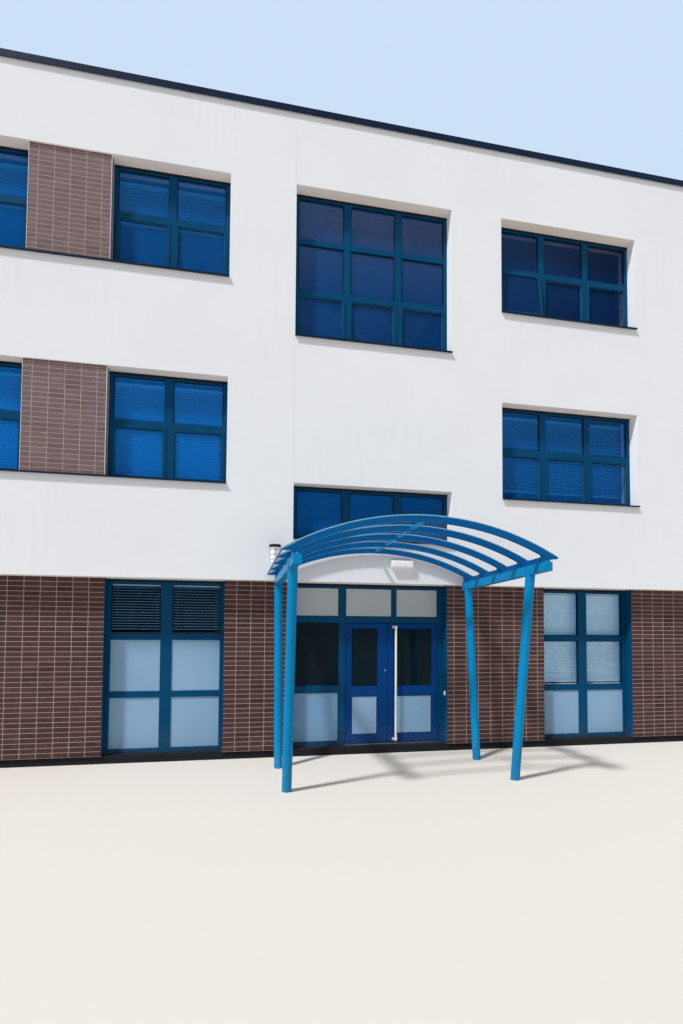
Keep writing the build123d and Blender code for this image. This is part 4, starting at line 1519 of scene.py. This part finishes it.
@dataclass
class WallTrim:
    """Plastic beads of the render: an upright joint beside the middle windows, and its lower edge."""

    width: float = 0.012  # of the joint's bead
    proud: float = 0.0015  # how far it stands out
    middle: float = 0.5  # how near the front's middle the windows beside it start
    sill: float = 0.05  # what their sills take below them
    edge_height: float = 0.01  # of the bead along the lower edge
    edge_drop: float = 0.002  # how far that bead hangs below the render
    edge_depth: float = 0.03  # how far it reaches in under it

    def joint(self) -> None:
        """Builds the upright joint, from window to window."""
        windows = blocks_of("front_frames_first_floor") + blocks_of("front_frames_second_floor")
        beside = [block for block in windows if -self.middle < block.u0 < self.middle]
        strip, tall = sorted(beside, key=lambda block: block.z0)
        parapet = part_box("roof_coping")[0].z
        spans = ((SOFFIT, strip.z0 - self.sill), (strip.z1, tall.z0 - self.sill), (tall.z1, parapet))
        joint = Shape()
        for low, high in spans:
            for start in (0, 2):
                u = tall.u0 - self.width + start * self.width / 3
                joint.box((u, -self.proud, low), (u + self.width / 3, TOUCH, high))
        joint.build("render_joint_bead", Finish.WHITE, "white_metal")

    def edge(self) -> None:
        """Builds the bead along the lower edge of the render."""
        foot, top = SOFFIT - self.edge_drop, SOFFIT + self.edge_height
        out, back = -self.proud, self.edge_depth
        section = [(out, foot), (back, foot), (back, SOFFIT), (TOUCH, SOFFIT), (TOUCH, top), (out, top)]
        for side in Side:
            bead = Shape(side.place)
            ends = (-side.half + back, side.half - back)
            bead.stack([[(u, v, z) for v, z in section] for u in ends])
            bead.build(f"{side.label}_render_edge", Finish.WHITE, "white_metal")

    def build(self) -> None:
        """Builds both."""
        self.joint()
        self.edge()


@dataclass
class Roof:
    """Laps of the roof felt and its upstand against the parapet."""

    roll: float = 1.0  # width of a roll of felt
    lap: float = 0.08  # width of a lap
    thickness: float = 0.004
    upstand: float = 0.2  # height of the upstand

    def build(self) -> None:
        """Builds the laps and the upstand."""
        low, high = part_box("roof_slab")
        felt = Shape(STILL)
        foot, top, thick = high.z - TOUCH, high.z + self.upstand, self.thickness
        for x in steps(low.x + self.roll, high.x - self.lap, self.roll):
            felt.box((x, low.y, foot), (x + self.lap, high.y, high.z + thick))
        for y0, y1 in ((low.y, low.y + thick), (high.y - thick, high.y)):
            felt.box((low.x, y0, foot), (high.x, y1, top))
        for x0, x1 in ((low.x, low.x + thick), (high.x - thick, high.x)):
            felt.box((x0, low.y, foot), (x1, high.y, top))
        felt.build("roof_felt_laps", Finish.FELT, "roof_felt")


@dataclass
class Lamps:
    """Guard and bands of the two lamps on the wall."""

    wire: float = 0.003  # radius of the lantern's guard wire
    rings: int = 3  # number of wires round it
    sides: int = 24  # straight lengths of a ring
    posts: int = 4  # number of upright wires
    band: float = 0.022  # distance of the long lamp's bands from its ends
    band_reach: float = 0.002  # how far they stand out
    band_inset: float = 0.02  # how far they end from its edges

    def lantern(self) -> None:
        """Builds the lantern's guard."""
        drum = blocks_of("lantern_drum")[0]
        radius = (drum.u1 - drum.u0) / 2 + self.wire * 0.6
        u, v = drum.middle
        angles = [2 * math.pi * n / self.sides for n in range(self.sides)]
        spots = [(u + radius * math.cos(angle), v + radius * math.sin(angle)) for angle in angles]
        guard = Shape()
        for level in range(self.rings):
            z = drum.z0 + (drum.z1 - drum.z0) * (level + 0.5) / self.rings
            for here, there in zip(spots, spots[1:] + spots[:1]):
                guard.rod((*here, z), (*there, z), [self.wire] * 2, 6)
        for spot in spots[::self.sides // self.posts]:
            guard.rod((*spot, drum.z0), (*spot, drum.z1), [self.wire] * 2, 6)
        guard.build("lantern_guard", Finish.NAVY, "dark_metal")

    def bands(self) -> None:
        """Builds the long lamp's bands."""
        lamp = blocks_of("wall_lamp")[0]
        caps = Shape()
        low, high = lamp.z0 + self.band_inset, lamp.z1 - self.band_inset
        for u in (lamp.u0 + self.band, lamp.u1 - 2 * self.band):
            caps.box((u, lamp.v0 - self.band_reach, low), (u + self.band / 3, lamp.v1, high))
        caps.build("wall_lamp_bands", Finish.WHITE, "white_metal")

    def build(self) -> None:
        """Builds both."""
        self.lantern()
        self.bands()


# The solids' own finishes

@dataclass
class Dressing:
    """The finish of every solid that shows as it is."""

    nodes: dict[Finish, str] = field(default_factory=lambda: {
        Finish.RENDER: "front_wall_first_floor front_wall_second_floor left_wall right_wall back_wall",
        Finish.PLINTH: "ground_slab",
        Finish.SCREED: "first_floor_slab second_floor_slab",
        Finish.FELT: "roof_slab",
        Finish.NAVY: "roof_coping window_sills lantern_cap",
        Finish.TEAL: "front_frames_ground_floor front_frames_first_floor front_frames_second_floor"
                     " left_frames right_frames back_frames entrance_screen vent_sash reveal_linings"
                     " jamb_hinges",
        Finish.GLASS: "front_glass left_glass right_glass back_glass vent_glass",
        Finish.DOOR_GLASS: "entrance_side_glass left_door_glass right_door_glass",
        Finish.PANEL: "ground_window_panels left_door_panel right_door_panel",
        Finish.SCREEN_PANEL: "entrance_panels",
        Finish.DOOR: "left_door_leaf right_door_leaf left_door_hinges right_door_hinges",
        Finish.WHITE: "door_pull_bar",
        Finish.STEEL: "door_threshold",
        Finish.CAP: "canopy_rib_caps",
        Finish.CANOPY: "canopy_posts canopy_beams canopy_purlins",
        Finish.RIB: "canopy_ribs canopy_edge_rails canopy_rib_seats",
        Finish.SHEET: "canopy_roof_sheet",
        Finish.LAMP: "wall_lamp lantern_drum",
    })

    def build(self) -> None:
        """Gives every node its finish."""
        for finish, names in self.nodes.items():
            for name in names.split():
                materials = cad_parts[name].data.materials
                materials.clear()
                materials.append(finish.material)
                LOG.info("%s: %s", name, finish.name.lower())


# Studio

@dataclass
class Studio:
    """Pale floor, soft light and a camera where the photograph was taken from."""

    eye: Point = (-1.25, -13.793, 2.075)  # the camera's place
    yaw: float = math.radians(11.5)  # turn to the right of the front wall's normal
    pitch: float = math.radians(2.31)  # upward tilt
    roll: float = math.radians(-0.39)  # turn about the line of sight
    focal: float = 556.8 / 683  # focal length in image widths
    centre_drop: float = 93.7 / 683  # the line of sight below the image's middle, in image widths
    sensor: float = 36.0  # width in millimetres
    sky: float = 0.42  # strength of the light from all round
    key: float = 3.42  # strength of the light from the upper left
    key_from: Point = (-0.5, -0.32, 0.805)  # the direction that it comes from
    key_width: float = math.radians(5)  # as seen from the building
    backdrop: Colour = (0.6, 0.75, 0.93)
    floor: Colour = (0.68, 0.64, 0.59)
    reach: float = 120.0  # half the width of the floor

    def add(self, name: str, data: bpy.types.ID) -> bpy.types.Object:
        """Puts a camera, a lamp or a mesh into the scene.

        Args:
            name: Its name.
            data: What it shows.

        Returns:
            Its object.
        """
        made = bpy.data.objects.new(name, data)
        bpy.context.scene.collection.objects.link(made)
        return made

    def camera(self) -> None:
        """Sets up the camera."""
        ahead = Vector((
            math.sin(self.yaw) * math.cos(self.pitch),
            math.cos(self.yaw) * math.cos(self.pitch),
            math.sin(self.pitch),
        ))
        level = Vector((math.cos(self.yaw), -math.sin(self.yaw), 0))
        right = level * math.cos(self.roll) + ahead.cross(level) * math.sin(self.roll)
        data = bpy.data.cameras.new("camera")
        data.sensor_fit = "HORIZONTAL"
        data.sensor_width = self.sensor
        data.lens = self.focal * self.sensor
        data.shift_y = self.centre_drop
        camera = self.add("camera", data)
        columns = Matrix((right, right.cross(ahead), -ahead)).transposed().to_4x4()
        camera.matrix_world = Matrix.Translation(self.eye) @ columns
        bpy.context.scene.camera = camera

    def light(self) -> None:
        """Sets up the lamp and the world."""
        data = bpy.data.lights.new("key", "SUN")
        data.energy = self.key
        data.angle = self.key_width
        lamp = self.add("key", data)
        lamp.rotation_euler = Vector(self.key_from).to_track_quat("Z", "Y").to_euler()
        world = bpy.data.worlds.new("studio")
        world.use_nodes = True
        bpy.context.scene.world = world
        tree = Tree(world.node_tree)
        lighting = tree.node("ShaderNodeBackground", {"Color": (1.0, 1.0, 1.0), "Strength": self.sky})
        behind = tree.node("ShaderNodeBackground", {"Color": self.backdrop})
        path = tree.node("ShaderNodeLightPath", {}).outputs
        seen = path["Is Camera Ray"]
        for name in ("Is Glossy Ray", "Is Transmission Ray"):
            seen = tree.maths("MAXIMUM", seen, path[name])
        mixed = tree.node("ShaderNodeMixShader", {0: seen, 1: lighting.outputs[0], 2: behind.outputs[0]})
        tree.node("ShaderNodeOutputWorld", {"Surface": mixed.outputs[0]})

    def ground(self) -> None:
        """Lays the floor."""
        mesh = bpy.data.meshes.new("floor")
        reach, z = self.reach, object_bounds()[0][2] - TOUCH
        corners = [(-reach, -reach, z), (reach, -reach, z), (reach, reach, z), (-reach, reach, z)]
        mesh.from_pydata(corners, [], [(0, 1, 2, 3)])
        graph = Graph("studio_floor")
        graph.finish(base_color=self.floor, roughness=0.9)
        mesh.materials.append(graph.material)
        floor = self.add("floor", mesh)
        floor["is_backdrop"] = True

    def build(self) -> None:
        """Sets up all of it."""
        self.camera()
        self.light()
        self.ground()
        bpy.context.scene.view_settings.view_transform = "Standard"


def write_size() -> None:
    """Gathers the box of the solids and the box of the dressed building as plain numbers.
    """
    boxes = {"cad": CAD_BOX, "visual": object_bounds()}
    plain = {name: [[float(value) for value in corner] for corner in box] for name, box in boxes.items()}


def main() -> None:
    """Builds the dressed building in order."""
    logging.basicConfig(level=logging.INFO, format="%(name)s %(message)s")
    Dressing().build()
    Brickwork().build()
    glazing = Glazing()
    glazing.build()
    Blinds().build()
    HallCeiling().build()
    Entrance().build(glazing)
    Canopy().build()
    WallTrim().build()
    Roof().build()
    Lamps().build()
    Studio().build()
    write_size()


if __name__ == "__main__":
    main()
